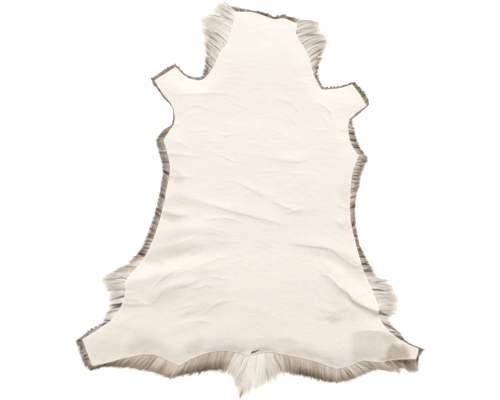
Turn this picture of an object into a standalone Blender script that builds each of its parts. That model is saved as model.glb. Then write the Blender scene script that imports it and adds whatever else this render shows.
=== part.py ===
"""Reindeer hide dressed with the hair on, lying on its hair with the flesh side up.

One skin in one piece: a sheet of leather with the neck at +Y, the tail at -Y and the
four leg ends at the corners, on a pile of hair that reaches past the cut edge all round.
The solid is skin and pile together. It stands on z = 0, under the middle of its box.
"""

import bmesh
import bpy
import numpy as np
from mathutils import Vector
from mathutils.geometry import delaunay_2d_cdt

# Every length in the tables and constants is in millimetres.
MM = 0.001

SKIN = 1.6  # thickness of the dressed leather, seen at the cut edge
BODY_LOFT = 24.0  # height of the flesh side over the back, where the pile is deepest
TURN_WIDTH = 46.0  # the leather slopes down to its edge over this width
STATION = 12.0  # spacing of the stations along the outline
GRID = 22.0  # spacing of the points inside the leather
CLEAR = 6.0  # no two points of the leather come closer than this
FOOT_MAX = 18.0  # a fold side narrower than this has its foot drawn too
TIP_HEIGHT = 6.0  # the hair tips lie this far off the floor
UNDERCUT = 8.0  # the pile meets the floor this far inside its tips
MOST_UNDERCUT = 0.45  # or this share of the reach, where the hair is short

SMOOTH, CORNER = False, True

# The cut edge, clockwise from the neck's left corner, seen from above.
# x, y: the leather's edge; z: its height; hair x, hair y: how far the hair reaches past it.
HEAD = [
    (-51, 598, 12, -11, 19, CORNER),
    (11, 595, 13, 0, 9, SMOOTH),
    (52, 582, 13, 3, 11, SMOOTH),
    (74, 574, 12, 2, 8, SMOOTH),
    (103, 577, 13, 3, 13, SMOOTH),
    (147, 560, 13, 9, 9, CORNER),
]
NECK_RIGHT = [
    (147, 544, 15, 54, 27, SMOOTH),
    (144, 529, 16, 85, -6, SMOOTH),
    (154, 506, 17, 93, -11, SMOOTH),
    (166, 491, 16, 59, -19, SMOOTH),
    (187, 449, 15, 32, -13, SMOOTH),
    (201, 396, 13, 11, -8, SMOOTH),
    (226, 351, 12, 2, 9, CORNER),
]
FORELEG_RIGHT = [
    (283, 357, 9, -2, 7, SMOOTH),
    (321, 369, 7, 6, 9, CORNER),
    (347, 335, 8, 13, 9, SMOOTH),
    (367, 301, 7, 10, 8, CORNER),
    (337, 279, 9, 5, -4, SMOOTH),
    (313, 258, 12, 8, 2, CORNER),
]
FLANK_RIGHT = [
    (309, 237, 15, 21, -3, SMOOTH),
    (321, 174, 16, 29, -6, SMOOTH),
    (342, 142, 15, 32, -11, CORNER),
    (326, 101, 17, 30, -9, SMOOTH),
    (315, 19, 17, 26, -3, SMOOTH),
    (317, -66, 16, 16, 6, SMOOTH),
    (332, -133, 16, 14, -3, SMOOTH),
    (359, -225, 17, 22, 16, SMOOTH),
    (385, -282, 16, 60, 16, SMOOTH),
    (408, -342, 13, 54, 0, CORNER),
]
GROIN_RIGHT = [
    (405, -361, 11, 27, -9, SMOOTH),
    (432, -405, 11, 16, 9, SMOOTH),
    (479, -443, 9, 8, 7, SMOOTH),
    (532, -468, 7, 18, -3, CORNER),
]
HEM_RIGHT = [
    (524, -500, 7, -2, -49, CORNER),
    (461, -502, 9, 0, -38, SMOOTH),
    (404, -510, 9, 3, -29, SMOOTH),
    (353, -506, 10, 9, -36, SMOOTH),
    (315, -522, 8, 0, -41, SMOOTH),
    (271, -532, 7, -3, -43, CORNER),
    (195, -506, 9, -3, -47, SMOOTH),
    (109, -487, 10, 16, -51, SMOOTH),
]
TAIL = [
    (55, -478, 11, 22, -95, SMOOTH),
    (36, -481, 11, 19, -121, SMOOTH),
    (11, -484, 11, -40, -141, CORNER),
    (-11, -489, 11, -32, -92, SMOOTH),
    (-33, -481, 11, -51, -60, SMOOTH),
]
HEM_LEFT = [
    (-103, -475, 10, -28, -57, SMOOTH),
    (-160, -489, 9, -32, -54, SMOOTH),
    (-229, -522, 7, -22, -39, CORNER),
    (-312, -486, 10, -9, -47, SMOOTH),
    (-388, -495, 9, -3, -28, SMOOTH),
    (-457, -513, 8, 0, -13, SMOOTH),
    (-500, -522, 7, -5, -16, CORNER),
]
LEG_END_LEFT = [
    (-516, -481, 8, -14, -13, SMOOTH),
    (-532, -438, 7, -18, -6, CORNER),
]
GROIN_LEFT = [
    (-479, -404, 9, -3, 8, SMOOTH),
    (-442, -378, 11, -21, 6, SMOOTH),
    (-410, -334, 13, -32, 0, SMOOTH),
    (-396, -285, 15, -52, 0, SMOOTH),
    (-397, -255, 16, -78, -4, SMOOTH),
    (-359, -209, 16, -66, 0, SMOOTH),
]
FLANK_LEFT = [
    (-323, -155, 15, -30, 0, SMOOTH),
    (-291, -73, 16, -24, 0, SMOOTH),
    (-266, 32, 16, -21, -3, SMOOTH),
    (-255, 104, 17, -23, -3, SMOOTH),
    (-275, 193, 15, -24, 0, CORNER),
    (-259, 218, 15, -27, 3, SMOOTH),
    (-242, 245, 15, -13, -4, SMOOTH),
    (-245, 294, 13, -6, 0, SMOOTH),
]
FORELEG_LEFT = [
    (-280, 342, 10, -5, -2, SMOOTH),
    (-304, 381, 7, -13, 3, CORNER),
    (-237, 423, 7, -1, 11, CORNER),
    (-195, 388, 10, -1, 11, SMOOTH),
    (-157, 382, 12, -2, 9, SMOOTH),
]
NECK_LEFT = [
    (-122, 416, 14, -21, 0, SMOOTH),
    (-103, 459, 16, -36, 3, SMOOTH),
    (-74, 500, 17, -68, 19, SMOOTH),
    (-63, 532, 17, -91, 17, SMOOTH),
    (-55, 567, 16, -82, 13, SMOOTH),
    (-52, 589, 14, -42, 36, SMOOTH),
]
OUTLINE = (
    HEAD + NECK_RIGHT + FORELEG_RIGHT + FLANK_RIGHT + GROIN_RIGHT + HEM_RIGHT + TAIL
    + HEM_LEFT + LEG_END_LEFT + GROIN_LEFT + FLANK_LEFT + FORELEG_LEFT + NECK_LEFT
)

# Where the pile holds the skin lower or higher than over the back: x, y, radius, rise.
PILE_PLACES = [
    (50, 640, 210, -9),  # the end of the neck, where the hair is short
    (-300, 420, 170, -14),  # left foreleg
    (370, 350, 170, -14),  # right foreleg
    (-530, -500, 260, -14),  # left hind leg
    (540, -500, 260, -14),  # right hind leg
    (0, -560, 190, -7),  # the root of the tail
    (30, 420, 120, 2.5),  # nape
    (-110, 290, 120, -3),  # left shoulder
    (170, 280, 130, -3.5),  # right shoulder
    (10, 170, 130, 2.5),  # between them
    (-150, 100, 110, -2),
    (190, 40, 140, 2),
    (-20, -150, 130, -2.5),  # small of the back
    (80, -290, 150, 3),  # rump
    (-150, -400, 120, -3),  # left haunch
    (240, -380, 130, -3),  # right haunch
]

# Each fold's crest runs through three points, each an x, a y and a rise there, and a hollow
# has a negative rise. Last come the widths of its left and right slopes, looking along it.
BODY_FOLDS = [
    ((-264, 13, 0), (-49, -32, 3.5), (135, -82, 0), 28, 9),  # long crease over the loin
    ((-277, -38, 3), (-236, -47, 3.5), (-180, -51, 0), 20, 8),
    ((-144, -60, 0), (-90, -63, 3), (-33, -66, 0), 18, 9),
    ((93, -13, 0), (157, -32, 3), (204, -16, 0), 16, 10),
    ((-49, 57, 0), (46, 19, 3), (125, -22, 0), 24, 10),
    ((68, 123, 0), (125, 127, 3), (188, 139, 0), 24, 10),
    ((-293, -98, 3), (-191, -85, 6), (-71, -79, 0), 32, 36),  # swell before the left hip
    ((-350, -199, -2), (-229, -174, -8), (-49, -149, 0), 38, 30),  # hollow below it
    ((119, -139, 0), (245, -146, 6), (353, -209, 2), 28, 12),  # edge of the right hip
    ((172, -168, 0), (283, -199, -6), (370, -247, -2), 20, 28),  # hollow below it
]
GROIN_FOLDS = [
    ((-396, -270, 4), (-271, -231, 7), (-40, -206, 0), 28, 26),  # left hip
    ((-318, -320, 0), (-255, -269, 6), (-160, -253, 0), 16, 34),
    ((-255, -383, 0), (-176, -342, 4), (-59, -310, 0), 26, 12),
    ((-286, -421, 0), (-201, -396, 4), (-122, -367, 0), 26, 12),
    ((214, -212, 0), (305, -291, 11), (410, -349, 15), 46, 7),  # right hip, laid over
    ((347, -301, 0), (366, -291, 3), (384, -277, 3), 10, 8),
    ((299, -402, 0), (385, -399, 5), (448, -421, 3), 26, 44),
]
# Puckers run in from the cut edge, where the drying skin has pulled up.
PUCKERS = [
    ((-244, 241, 3), (-222, 240, 2), (-196, 235, 0), 9, 9),
    ((-263, 152, 3), (-240, 148, 2), (-212, 146, 0), 10, 10),
    ((-256, 82, 4), (-232, 76, 3), (-200, 74, 0), 10, 9),
    ((-272, 6, 3), (-250, 0, 2), (-222, -2, 0), 9, 9),
    ((-386, -247, 3), (-352, -249, 3), (-312, -246, 0), 10, 8),
    ((-396, -298, 3), (-374, -300, 2), (-348, -303, 0), 8, 8),
    ((-406, -323, 4), (-372, -330, 3), (-330, -331, 0), 10, 8),
    ((309, 237, 3), (290, 235, 2), (268, 231, 0), 9, 9),
    ((313, 193, 3), (293, 191, 2), (270, 190, 0), 9, 9),
    ((315, -13, 3), (292, -11, 2), (266, -6, 0), 9, 10),
    ((318, -76, 4), (291, -68, 3), (258, -60, 0), 10, 10),
    ((347, -196, 4), (329, -194, 3), (306, -188, 0), 9, 9),
]
FOLDS = BODY_FOLDS + GROIN_FOLDS + PUCKERS

CREST_PARTS = 16  # straight parts that a fold's crest is measured along

LEATHER_COLOUR = (0.90, 0.85, 0.77, 1.0)
HAIR_COLOUR = (0.36, 0.30, 0.25, 1.0)
LEATHER_ROUGHNESS = 0.75
HAIR_ROUGHNESS = 0.9


def run_between_corners(rows):
    """Smooth run through rows of numbers, by cubics whose slopes agree where they meet."""
    at = np.concatenate([[0.0], np.cumsum(np.linalg.norm(np.diff(rows, axis=0), axis=1))])
    slopes = np.diff(rows, axis=0) / np.diff(at)[:, None]
    tangents = np.empty_like(rows)
    tangents[0], tangents[-1] = slopes[0], slopes[-1]
    before, after = np.diff(at)[:-1, None], np.diff(at)[1:, None]
    tangents[1:-1] = (slopes[:-1] * after + slopes[1:] * before) / (before + after)
    found = []
    for i, span in enumerate(np.diff(at)):
        t = np.linspace(0, 1, max(1, round(span / STATION)), endpoint=False)[:, None]
        found.append(
            (1 + 2 * t) * (1 - t) ** 2 * rows[i]
            + t * (1 - t) ** 2 * span * tangents[i]
            + t**2 * (3 - 2 * t) * rows[i + 1]
            + t**2 * (t - 1) * span * tangents[i + 1]
        )
    return np.concatenate(found)


def outline_stations():
    """Stations round the hide: columns x, y and z of the leather's edge, and the hair's reach."""
    rows = np.array([row[:5] for row in OUTLINE], float)
    corners = [i for i, row in enumerate(OUTLINE) if row[5]]
    runs = []
    for start, end in zip(corners, corners[1:] + [corners[0] + len(rows)]):
        wanted = np.arange(start, end + 1) % len(rows)
        runs.append(run_between_corners(rows[wanted]))
    return np.concatenate(runs)


def crest_of(fold, parts=CREST_PARTS):
    """Points along a fold's crest, each an x, a y and a rise."""
    first, middle, last = (np.array(p, float) for p in fold[:3])
    t = np.linspace(0, 1, parts + 1)[:, None]
    return (
        (1 - t) * (1 - 2 * t) * first + 4 * t * (1 - t) * middle + t * (2 * t - 1) * last
    )


def rise_of(fold, points):
    """How much one fold lifts the skin at each point."""
    crest = crest_of(fold)
    starts, runs = crest[:-1, :2], np.diff(crest[:, :2], axis=0)
    apart = points[:, None] - starts
    along = np.clip((apart * runs).sum(axis=2) / (runs**2).sum(axis=1), 0, 1)
    off = apart - along[..., None] * runs
    distance = np.linalg.norm(off, axis=2)
    nearest = distance.argmin(axis=1)
    each = np.arange(len(points))
    run, side = runs[nearest], off[each, nearest]
    is_left = run[:, 0] * side[:, 1] - run[:, 1] * side[:, 0] > 0
    width = np.where(is_left, fold[3], fold[4])
    height = crest[nearest, 2] + along[each, nearest] * np.diff(crest[:, 2])[nearest]
    share = np.clip(distance[each, nearest] / width, 0, 1)
    return height * np.cos(share * np.pi / 2) ** 2


def eased(share):
    share = np.clip(share, 0, 1)
    return share * share * (3 - 2 * share)


def flesh_side_height(points, stations):
    """Height of the flesh side: loft of the pile, slope to the cut edge, and the folds."""
    loft = np.full(len(points), BODY_LOFT)
    for x, y, radius, rise in PILE_PLACES:
        away = np.linalg.norm(points - (x, y), axis=1)
        loft += rise * eased(1 - away / radius)
    away = np.linalg.norm(points[:, None] - stations[:, :2], axis=2)
    weight = 1 / (away + 2.0) ** 4
    edge = (weight * stations[:, 2]).sum(axis=1) / weight.sum(axis=1)
    height = edge + (loft - edge) * eased(away.min(axis=1) / TURN_WIDTH)
    return height + sum(rise_of(fold, points) for fold in FOLDS)


def inside(points, ring):
    """Which points lie inside the ring, by the crossings of a line to the right."""
    a, b = ring, np.roll(ring, -1, axis=0)
    x, y = points[:, :1], points[:, 1:]
    spans = (a[:, 1] > y) != (b[:, 1] > y)
    rise = np.where(b[:, 1] == a[:, 1], 1.0, b[:, 1] - a[:, 1])
    crosses = x < a[:, 0] + (y - a[:, 1]) / rise * (b[:, 0] - a[:, 0])
    return (spans & crosses).sum(axis=1) % 2 == 1


def fold_lines():
    """Points along each crest and along the foot of each steep side."""
    lines = []
    for fold in FOLDS:
        length = np.linalg.norm(np.diff(crest_of(fold)[:, :2], axis=0), axis=1).sum()
        crest = crest_of(fold, max(2, round(length / STATION)))[:, :2]
        along = np.gradient(crest, axis=0)
        along /= np.linalg.norm(along, axis=1)[:, None]
        to_left = np.stack([-along[:, 1], along[:, 0]], axis=1)
        lines.append(crest)
        for width in (fold[3], -fold[4]):
            if abs(width) <= FOOT_MAX:
                lines.append(crest + to_left * width)
    return np.concatenate(lines)


def inner_points(ring):
    """Points inside the leather: the fold lines first, then a staggered grid between them."""
    low, high = ring.min(axis=0), ring.max(axis=0)
    row_gap = GRID * np.sqrt(0.75)
    grid = [
        (x + (GRID / 2 if row % 2 else 0), y)
        for row, y in enumerate(np.arange(low[1], high[1], row_gap))
        for x in np.arange(low[0], high[0], GRID)
    ]
    kept = ring
    for points, clear in ((fold_lines(), CLEAR), (np.array(grid), GRID / 2)):
        for point in points[inside(points, ring)]:
            if np.linalg.norm(kept - point, axis=1).min() > clear:
                kept = np.concatenate([kept, point[None]])
    return kept[len(ring):]


def filled(ring, inner):
    """Triangles, as indices into the ring and then the inner points."""
    flat = [Vector(p) for p in np.concatenate([ring, inner])]
    border = [(i, (i + 1) % len(ring)) for i in range(len(ring))]
    only_inside = 1
    points, _, faces, sources, _, _ = delaunay_2d_cdt(flat, border, [], only_inside, 0.0)
    index = [source[0] for source in sources]
    assert len(points) == len(flat)
    return [[index[i] for i in face] for face in faces]


def pile_rings(stations):
    """The rings below the flesh side's own: cut edge, curve of the pile, tips and floor."""
    edge, height, reach = stations[:, :2], stations[:, 2:3], stations[:, 3:5]
    root = height - SKIN
    length = np.linalg.norm(reach, axis=1)[:, None]
    tuck = np.minimum(UNDERCUT / length, MOST_UNDERCUT)
    return [
        np.hstack([edge, root]),
        np.hstack([edge + 0.35 * reach, root + 0.22 * (TIP_HEIGHT - root)]),
        np.hstack([edge + 0.78 * reach, root + 0.70 * (TIP_HEIGHT - root)]),
        np.hstack([edge + reach, np.full_like(height, TIP_HEIGHT)]),
        np.hstack([edge + (1 - tuck) * reach, np.zeros_like(height)]),
    ]


def material(name, colour, roughness):
    made = bpy.data.materials.new(name)
    made.use_nodes = True
    shader = made.node_tree.nodes["Principled BSDF"]
    shader.inputs["Base Color"].default_value = colour
    shader.inputs["Roughness"].default_value = roughness
    shader.inputs["Metallic"].default_value = 0.0
    made.diffuse_color = colour
    return made


def hide(collection):
    """The skin on its pile: the flesh side, the pile's curve all round, and the flat floor side."""
    stations = outline_stations()
    ring = stations[:, :2].copy()
    stations[:, 2] = flesh_side_height(ring, stations)
    inner = inner_points(ring)
    inner_height = flesh_side_height(inner, outline_stations())
    rings = pile_rings(stations)

    shape = bmesh.new()

    def add(points):
        return [shape.verts.new(Vector(p) * MM) for p in points]

    flesh = add(np.hstack([ring, stations[:, 2:3]])) + add(np.hstack([inner, inner_height[:, None]]))
    flesh_faces = [shape.faces.new([flesh[i] for i in face]) for face in filled(ring, inner)]
    upper = flesh[: len(ring)]
    for points in rings:
        lower = add(points)
        for i in range(len(ring)):
            j = (i + 1) % len(ring)
            shape.faces.new([upper[i], upper[j], lower[j], lower[i]])
        upper = lower
    for face in filled(rings[-1][:, :2], np.zeros((0, 2))):
        shape.faces.new([upper[i] for i in face])
    for face in shape.faces:
        face.material_index = 1
    for face in flesh_faces:
        face.material_index = 0
    bmesh.ops.recalc_face_normals(shape, faces=shape.faces)
    bmesh.ops.triangulate(shape, faces=shape.faces)

    mesh = bpy.data.meshes.new("hide")
    shape.to_mesh(mesh)
    shape.free()
    mesh.materials.append(material("dressed_leather", LEATHER_COLOUR, LEATHER_ROUGHNESS))
    mesh.materials.append(material("reindeer_hair", HAIR_COLOUR, HAIR_ROUGHNESS))
    mesh.shade_smooth()
    mesh.set_sharp_from_angle(angle=np.radians(50))
    made = bpy.data.objects.new("hide", mesh)
    collection.objects.link(made)
    return made


for old in list(bpy.data.objects):
    bpy.data.objects.remove(old, do_unlink=True)
parts = bpy.data.collections.new("reindeer_hide")
bpy.context.scene.collection.children.link(parts)
hide(parts)
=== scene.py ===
"""Reindeer hide dressed with the hair on, laid out on its hair with the white flesh side up.

One skin: soft shaved leather with its drying creases, and under it and past its cut edge the
animal's own coat, brown-grey down the flanks and cream at the neck, the groins and the tail.
"""

import bmesh
import bpy
import numpy as np
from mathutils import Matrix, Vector, noise
from mathutils.bvhtree import BVHTree
from mathutils.geometry import delaunay_2d_cdt
from mathutils.kdtree import KDTree


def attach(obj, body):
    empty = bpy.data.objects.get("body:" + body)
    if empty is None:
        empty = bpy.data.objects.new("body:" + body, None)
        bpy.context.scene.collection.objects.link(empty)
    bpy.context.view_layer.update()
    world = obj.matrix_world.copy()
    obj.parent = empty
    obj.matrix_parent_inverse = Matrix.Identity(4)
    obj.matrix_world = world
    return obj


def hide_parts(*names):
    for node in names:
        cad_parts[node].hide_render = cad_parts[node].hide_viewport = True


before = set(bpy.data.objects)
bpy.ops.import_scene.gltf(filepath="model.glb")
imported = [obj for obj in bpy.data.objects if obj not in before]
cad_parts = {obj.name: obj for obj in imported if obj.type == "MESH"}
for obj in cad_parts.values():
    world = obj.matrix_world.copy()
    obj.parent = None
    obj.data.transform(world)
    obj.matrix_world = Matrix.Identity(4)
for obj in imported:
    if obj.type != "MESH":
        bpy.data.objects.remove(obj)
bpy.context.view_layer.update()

# Every size in the tables is in millimetres, and x, y are places on the hide seen from above.
MM = 0.001


# ---- The skin ----------------------------------------------------------------------------
# One tanned reindeer skin, about 1.5 mm of soft leather, shaved and buffed nearly white.
# It was cut round with a knife while damp, and it lies on its hair with the creases of drying.

SKIN_THICK = 1.5
EDGE_THICK = 0.5  # at the cut, where the skin was pared
EDGE_START = (-51, 598)  # the neck's left corner, where the rim begins and the coat's rows too
EDGE_STEP = 4.0  # spacing of points along the cut edge
SKIN_GRID = 5.0  # spacing of points inside it
CREASE_STEP = 3.2  # closer along the creases
EDGE_CLEAR = 4.2  # none of those comes closer to the edge
EDGE_ROW = 2.0  # a row of points follows the edge this far in
SLOPE_ROWS = 9.0  # the farthest a row beside a crease lies from its crest
ROW_CLEAR = 1.5  # points of two such rows keep about this far apart
GRID_CLEAR = 3.4  # and the points of the grid this far from them
FOLD_ROWS = (0.0, 0.8, -0.8, 2.0, -1.8, 4.0, -3.0, 7.0, -4.5)  # closer where the skin lies double
FOLD_CLEAR, FOLD_APART = 0.6, 1.0  # between a fold's own points, and from them to the others
OVERLAP = 7.0  # how far a fold's crest is pushed over its own foot
FOLD_SLOPES = (9.0, 3.0)  # how far to its left and right the push fades
SHARP_TURN = 0.6  # the knife turned a corner where the edge turns by more radians than this
KNIFE_WOBBLE, WOBBLE_SIZE = 0.7, 9.0  # how far its cut wanders, in waves of what length
WRINKLE_RISE = 0.8  # of the fine wrinkles all over it
WRINKLE_LONG, WRINKLE_WIDE = 34.0, 9.0
UPRIGHT = 0.02  # a face this near to upright is part of the cut
SOFTEN_ROUNDS = 9  # how often a point takes its neighbours' mean height
CREASE_PARTS = 18  # a crease's line is drawn in so many straight parts

# A crease: the points of its crest, its rise, and the widths of its left and right slopes
# looking along it. Those with a negative rise are hollows.
CREASES = [
    # across the chest
    ([(-252, 341), (-207, 338), (-160, 339), (-112, 341), (-78, 338), (-40, 328)], 1.3, 7, 4.5),
    ([(-71, 317), (-40, 304), (-5, 292)], 1, 5, 4),
    ([(-204, 292), (-182, 303), (-150, 297), (-128, 284)], 1, 6, 5),
    ([(-201, 265), (-176, 278), (-144, 275)], 0.7, 6, 5),
    ([(-119, 272), (-90, 281), (-59, 281), (-33, 287)], 0.6, 5, 5),
    ([(-103, 239), (-71, 244), (-33, 235)], 0.7, 4, 4),
    ([(-198, 224), (-166, 221), (-122, 227)], 1.2, 7, 5),
    ([(-106, 213), (-78, 207), (-40, 215)], 1.2, 6, 5),
    ([(-144, 192), (-103, 186), (-59, 192)], 0.6, 5, 5),
    ([(-147, 161), (-112, 154), (-78, 148)], 0.7, 6, 5),
    ([(-109, 148), (-78, 138), (-52, 125), (-17, 122)], 1.1, 6, 4),
    ([(-100, 115), (-65, 110), (-30, 113)], 0.6, 5, 5),
    ([(-78, 66), (-40, 58), (-8, 43), (21, 29), (43, 15)], 1, 9, 4.5),
    ([(62, -1), (90, -10), (116, -21), (141, -29)], 1.6, 7, 5),
    ([(106, -36), (135, -33), (169, -20)], 1.3, 7, 4.5),
    ([(68, 326), (100, 320), (131, 307), (150, 288), (163, 263)], 1.1, 10, 6),
    ([(97, 287), (122, 263), (147, 239)], 0.9, 5, 4),
    ([(62, 272), (97, 265), (128, 246)], 0.6, 5, 5),
    ([(210, 313), (236, 298), (252, 281), (267, 256)], 1.7, 7, 5),
    ([(220, 275), (239, 256), (252, 230)], 0.9, 6, 5),
    ([(182, 230), (214, 222), (252, 224)], 0.9, 7, 5),
    ([(36, 142), (74, 135), (109, 128), (147, 124), (191, 134)], 1.3, 14, 5),
    ([(36, 94), (74, 94), (109, 101)], 0.6, 6, 5),
    ([(116, 87), (147, 86), (176, 94)], 0.9, 6, 4),
    ([(119, 47), (147, 45), (166, 59)], 0.9, 6, 5),
    # the long crease over the loin
    ([(-229, 15), (-176, 4), (-144, -5), (-116, -13), (-87, -23), (-55, -34), (-17, -42),
      (21, -53), (62, -61), (100, -72), (131, -83)], 1.3, 10, 5),
    ([(-160, -63), (-135, -57), (-109, -54), (-78, -54), (-46, -60), (-14, -74)], 1.4, 7, 3.5),
    ([(-160, -109), (-122, -101), (-84, -112)], 0.7, 5, 4),
    ([(-131, -85), (-97, -93), (-62, -109)], 0.7, 5, 4),
    ([(-116, -123), (-78, -131), (-40, -125)], 0.7, 5, 4),
    ([(-59, 38), (-24, 25), (11, 9)], 0.6, 6, 6),
    ([(55, -120), (93, -130), (131, -158)], 0.6, 7, 6),
]
HIP_CREASES = [
    # left hip: its hollow side, turned from the light
    ([(-328, -157), (-286, -147), (-229, -135), (-176, -119), (-131, -116)], 2, 12, 52),
    ([(-229, -181), (-201, -173), (-179, -164), (-150, -164)], 1.3, 7, 5),
    ([(-179, -212), (-150, -199), (-122, -190), (-100, -180), (-71, -180)], 1.7, 8, 3.5),
    # and the swell below it
    ([(-261, -282), (-236, -271), (-210, -266), (-188, -260), (-166, -249),
      (-138, -242)], 2.3, 46, 6),
    ([(-188, -278), (-160, -273), (-141, -264), (-119, -272)], 1.4, 6, 4),
    ([(-138, -246), (-109, -240), (-87, -246), (-59, -240)], 1.2, 7, 5),
    ([(-255, -352), (-226, -339), (-201, -331), (-172, -325), (-147, -316),
      (-128, -303)], 1.3, 7, 5),
    ([(-229, -361), (-204, -352), (-182, -349)], 0.7, 5, 5),
    ([(-163, -365), (-141, -351), (-122, -335), (-103, -322), (-78, -317),
      (-52, -314)], 1.8, 9, 4.5),
    ([(-258, -396), (-229, -391), (-204, -385), (-172, -378), (-141, -382),
      (-109, -389)], 1.2, 14, 6),
    ([(-321, -289), (-302, -268), (-280, -246), (-255, -227), (-223, -210)], 1.6, 5.5, 4.5),
    ([(-315, -330), (-296, -308), (-280, -287), (-264, -268), (-245, -257)], 1.6, 5.5, 4.5),
    ([(-84, -170), (-36, -198), (2, -219), (40, -239)], 0.6, 10, 9),
    ([(-71, -321), (-30, -328), (14, -336), (49, -348), (84, -369)], 0.9, 16, 20),
    ([(-122, -292), (-90, -282), (-59, -292)], 0.7, 6, 5),
    ([(-438, -391), (-404, -382), (-372, -363), (-340, -353)], 1.2, 14, 10),
    # soft hollows towards the hem
    ([(-489, -510), (-476, -478), (-467, -446)], -1.5, 14, 14),
    ([(-366, -472), (-337, -456), (-312, -434)], -1.4, 16, 16),
    ([(-191, -491), (-169, -459), (-150, -434)], -1.2, 14, 14),
    # right hip
    ([(112, -137), (147, -137), (176, -142), (207, -145), (236, -148), (258, -156), (280, -174),
      (299, -189)], 1.5, 12, 4),
    ([(157, -194), (191, -175), (239, -156)], 0.7, 6, 5),
    ([(195, -199), (220, -192), (245, -208), (274, -233), (302, -262)], 1.2, 22, 8),
    ([(214, -235), (239, -235), (261, -250), (277, -267), (299, -289)], 1.4, 7, 4),
    ([(239, -273), (261, -279), (286, -298)], 0.9, 6, 5),
    ([(214, -337), (239, -345), (277, -348), (315, -331)], 1.8, 24, 9),
    ([(223, -371), (252, -365), (277, -371), (302, -361)], 1.2, 6, 5),
    ([(220, -298), (239, -310), (252, -329)], 0.7, 6, 6),
    ([(261, -454), (283, -444), (312, -425)], 1, 6, 4),
    ([(274, -476), (293, -457), (315, -432)], 1.2, 6, 4),
    ([(334, -414), (366, -409), (404, -411), (432, -418)], 1.7, 6, 5),
    ([(432, -422), (461, -428), (479, -441)], 1.4, 6, 5),
    ([(442, -444), (461, -457), (476, -476)], 1.2, 5, 4),
    ([(397, -507), (416, -481), (429, -453)], 1.2, 8, 6),
]
EDGE_PUCKERS = [
    # down the left edge
    ([(-258, 245), (-242, 246), (-220, 241)], 1.4, 8, 5),
    ([(-271, 197), (-239, 191), (-210, 178), (-185, 162)], 1.2, 10, 8),
    ([(-261, 153), (-229, 148), (-191, 142), (-160, 137)], 1.3, 8, 5),
    ([(-264, 83), (-229, 77), (-201, 77), (-172, 70)], 2, 12, 8),
    ([(-280, -29), (-255, -40), (-223, -46), (-191, -43)], 1.8, 12, 6),
    ([(-381, -243), (-353, -248), (-321, -243)], 1.8, 12, 8),
    ([(-397, -290), (-378, -293), (-356, -289)], 1.5, 8, 5),
    ([(-407, -319), (-375, -327), (-340, -325), (-312, -328)], 2.3, 10, 8),
    # down the right edge
    ([(280, 227), (299, 222), (318, 221)], 1.4, 8, 5),
    ([(283, 19), (302, 28), (321, 38)], 1.2, 8, 6),
    ([(271, -9), (293, -21), (321, -23)], 1.5, 9, 5),
    ([(264, -48), (283, -73), (299, -88), (324, -78)], 1.8, 11, 5),
    ([(302, -92), (321, -98), (334, -92)], 1.2, 8, 6),
    ([(305, -190), (328, -206), (350, -203)], 1.6, 9, 6),
    ([(337, -296), (359, -288), (381, -275)], 1.9, 9, 7),
]
LAID_OVER = [
    ([(296, -273), (315, -294), (329, -311), (353, -322), (378, -333), (403, -346),
      (426, -358)], 1.5, 14, 2.5),
]


def merged_copy(node):
    """A CAD node's surface with its loose triangles joined."""
    shell = bmesh.new()
    shell.from_mesh(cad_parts[node].data)
    bmesh.ops.remove_doubles(shell, verts=shell.verts, dist=0.01 * MM)
    shell.normal_update()
    return shell


def is_cut_face(face):
    """The knife's cut stands upright all round the leather."""
    return abs(face.normal.z) < UPRIGHT


def flesh_faces(shell):
    """The faces of the flesh side: all that joins the middle of the back above the cut."""
    tops = [f for f in shell.faces if f.normal.z > 0.5]
    middle = min(tops, key=lambda f: f.calc_center_median().xy.length)
    found, waiting = {middle}, [middle]
    while waiting:
        for edge in waiting.pop().edges:
            for face in edge.link_faces:
                if face not in found and not is_cut_face(face):
                    found.add(face)
                    waiting.append(face)
    return found


def edge_round(faces):
    """Points of the rim of these faces in order, clockwise seen from above, in millimetres."""
    after = {}
    for face in faces:
        for loop in face.loops:
            if any(other not in faces for other in loop.edge.link_faces):
                after[loop.link_loop_next.vert] = loop.vert
    start = min(after, key=lambda v: (v.co.xy / MM - Vector(EDGE_START)).length)
    points, here = [start.co / MM], after[start]
    while here is not start:
        points.append(here.co / MM)
        here = after[here]
    return np.array(points)


def turns(points):
    """How far the rim turns at each point, in radians."""
    ahead = np.roll(points, -1, axis=0)[:, :2] - points[:, :2]
    behind = points[:, :2] - np.roll(points, 1, axis=0)[:, :2]
    angle = np.arctan2(ahead[:, 1], ahead[:, 0]) - np.arctan2(behind[:, 1], behind[:, 0])
    return np.abs((angle + np.pi) % (2 * np.pi) - np.pi)


def curve(p, q, r, s, t):
    """Points between q and r, at shares t, on the smooth curve from p to s."""
    return 0.5 * (
        2 * q + (r - p) * t + (2 * p - 5 * q + 4 * r - s) * t**2
        + (3 * q - p - 3 * r + s) * t**3
    )


def drawn_fine(points, step):
    """The rim with more points, on curves that keep its corners."""
    corner = turns(points) > SHARP_TURN
    count, found = len(points), []
    for i in range(count):
        a, b = points[i], points[(i + 1) % count]
        before = 2 * a - b if corner[i] else points[i - 1]
        beyond = 2 * b - a if corner[(i + 1) % count] else points[(i + 2) % count]
        parts = max(1, round(float(np.linalg.norm(b - a)) / step))
        found.append(curve(before, a, b, beyond, (np.arange(parts) / parts)[:, None]))
    return np.concatenate(found)


def smooth_noise(points, size_x, size_y, seed):
    """Soft unevenness from -1 to 1, with lumps of these sizes in millimetres."""
    return np.array([noise.noise(Vector((x / size_x, y / size_y, seed))) for x, y in points])


def rotated(vectors, angle):
    """Level directions turned by angles in radians."""
    x, y = vectors[:, 0], vectors[:, 1]
    return np.column_stack(
        [x * np.cos(angle) - y * np.sin(angle), x * np.sin(angle) + y * np.cos(angle)]
    )


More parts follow.
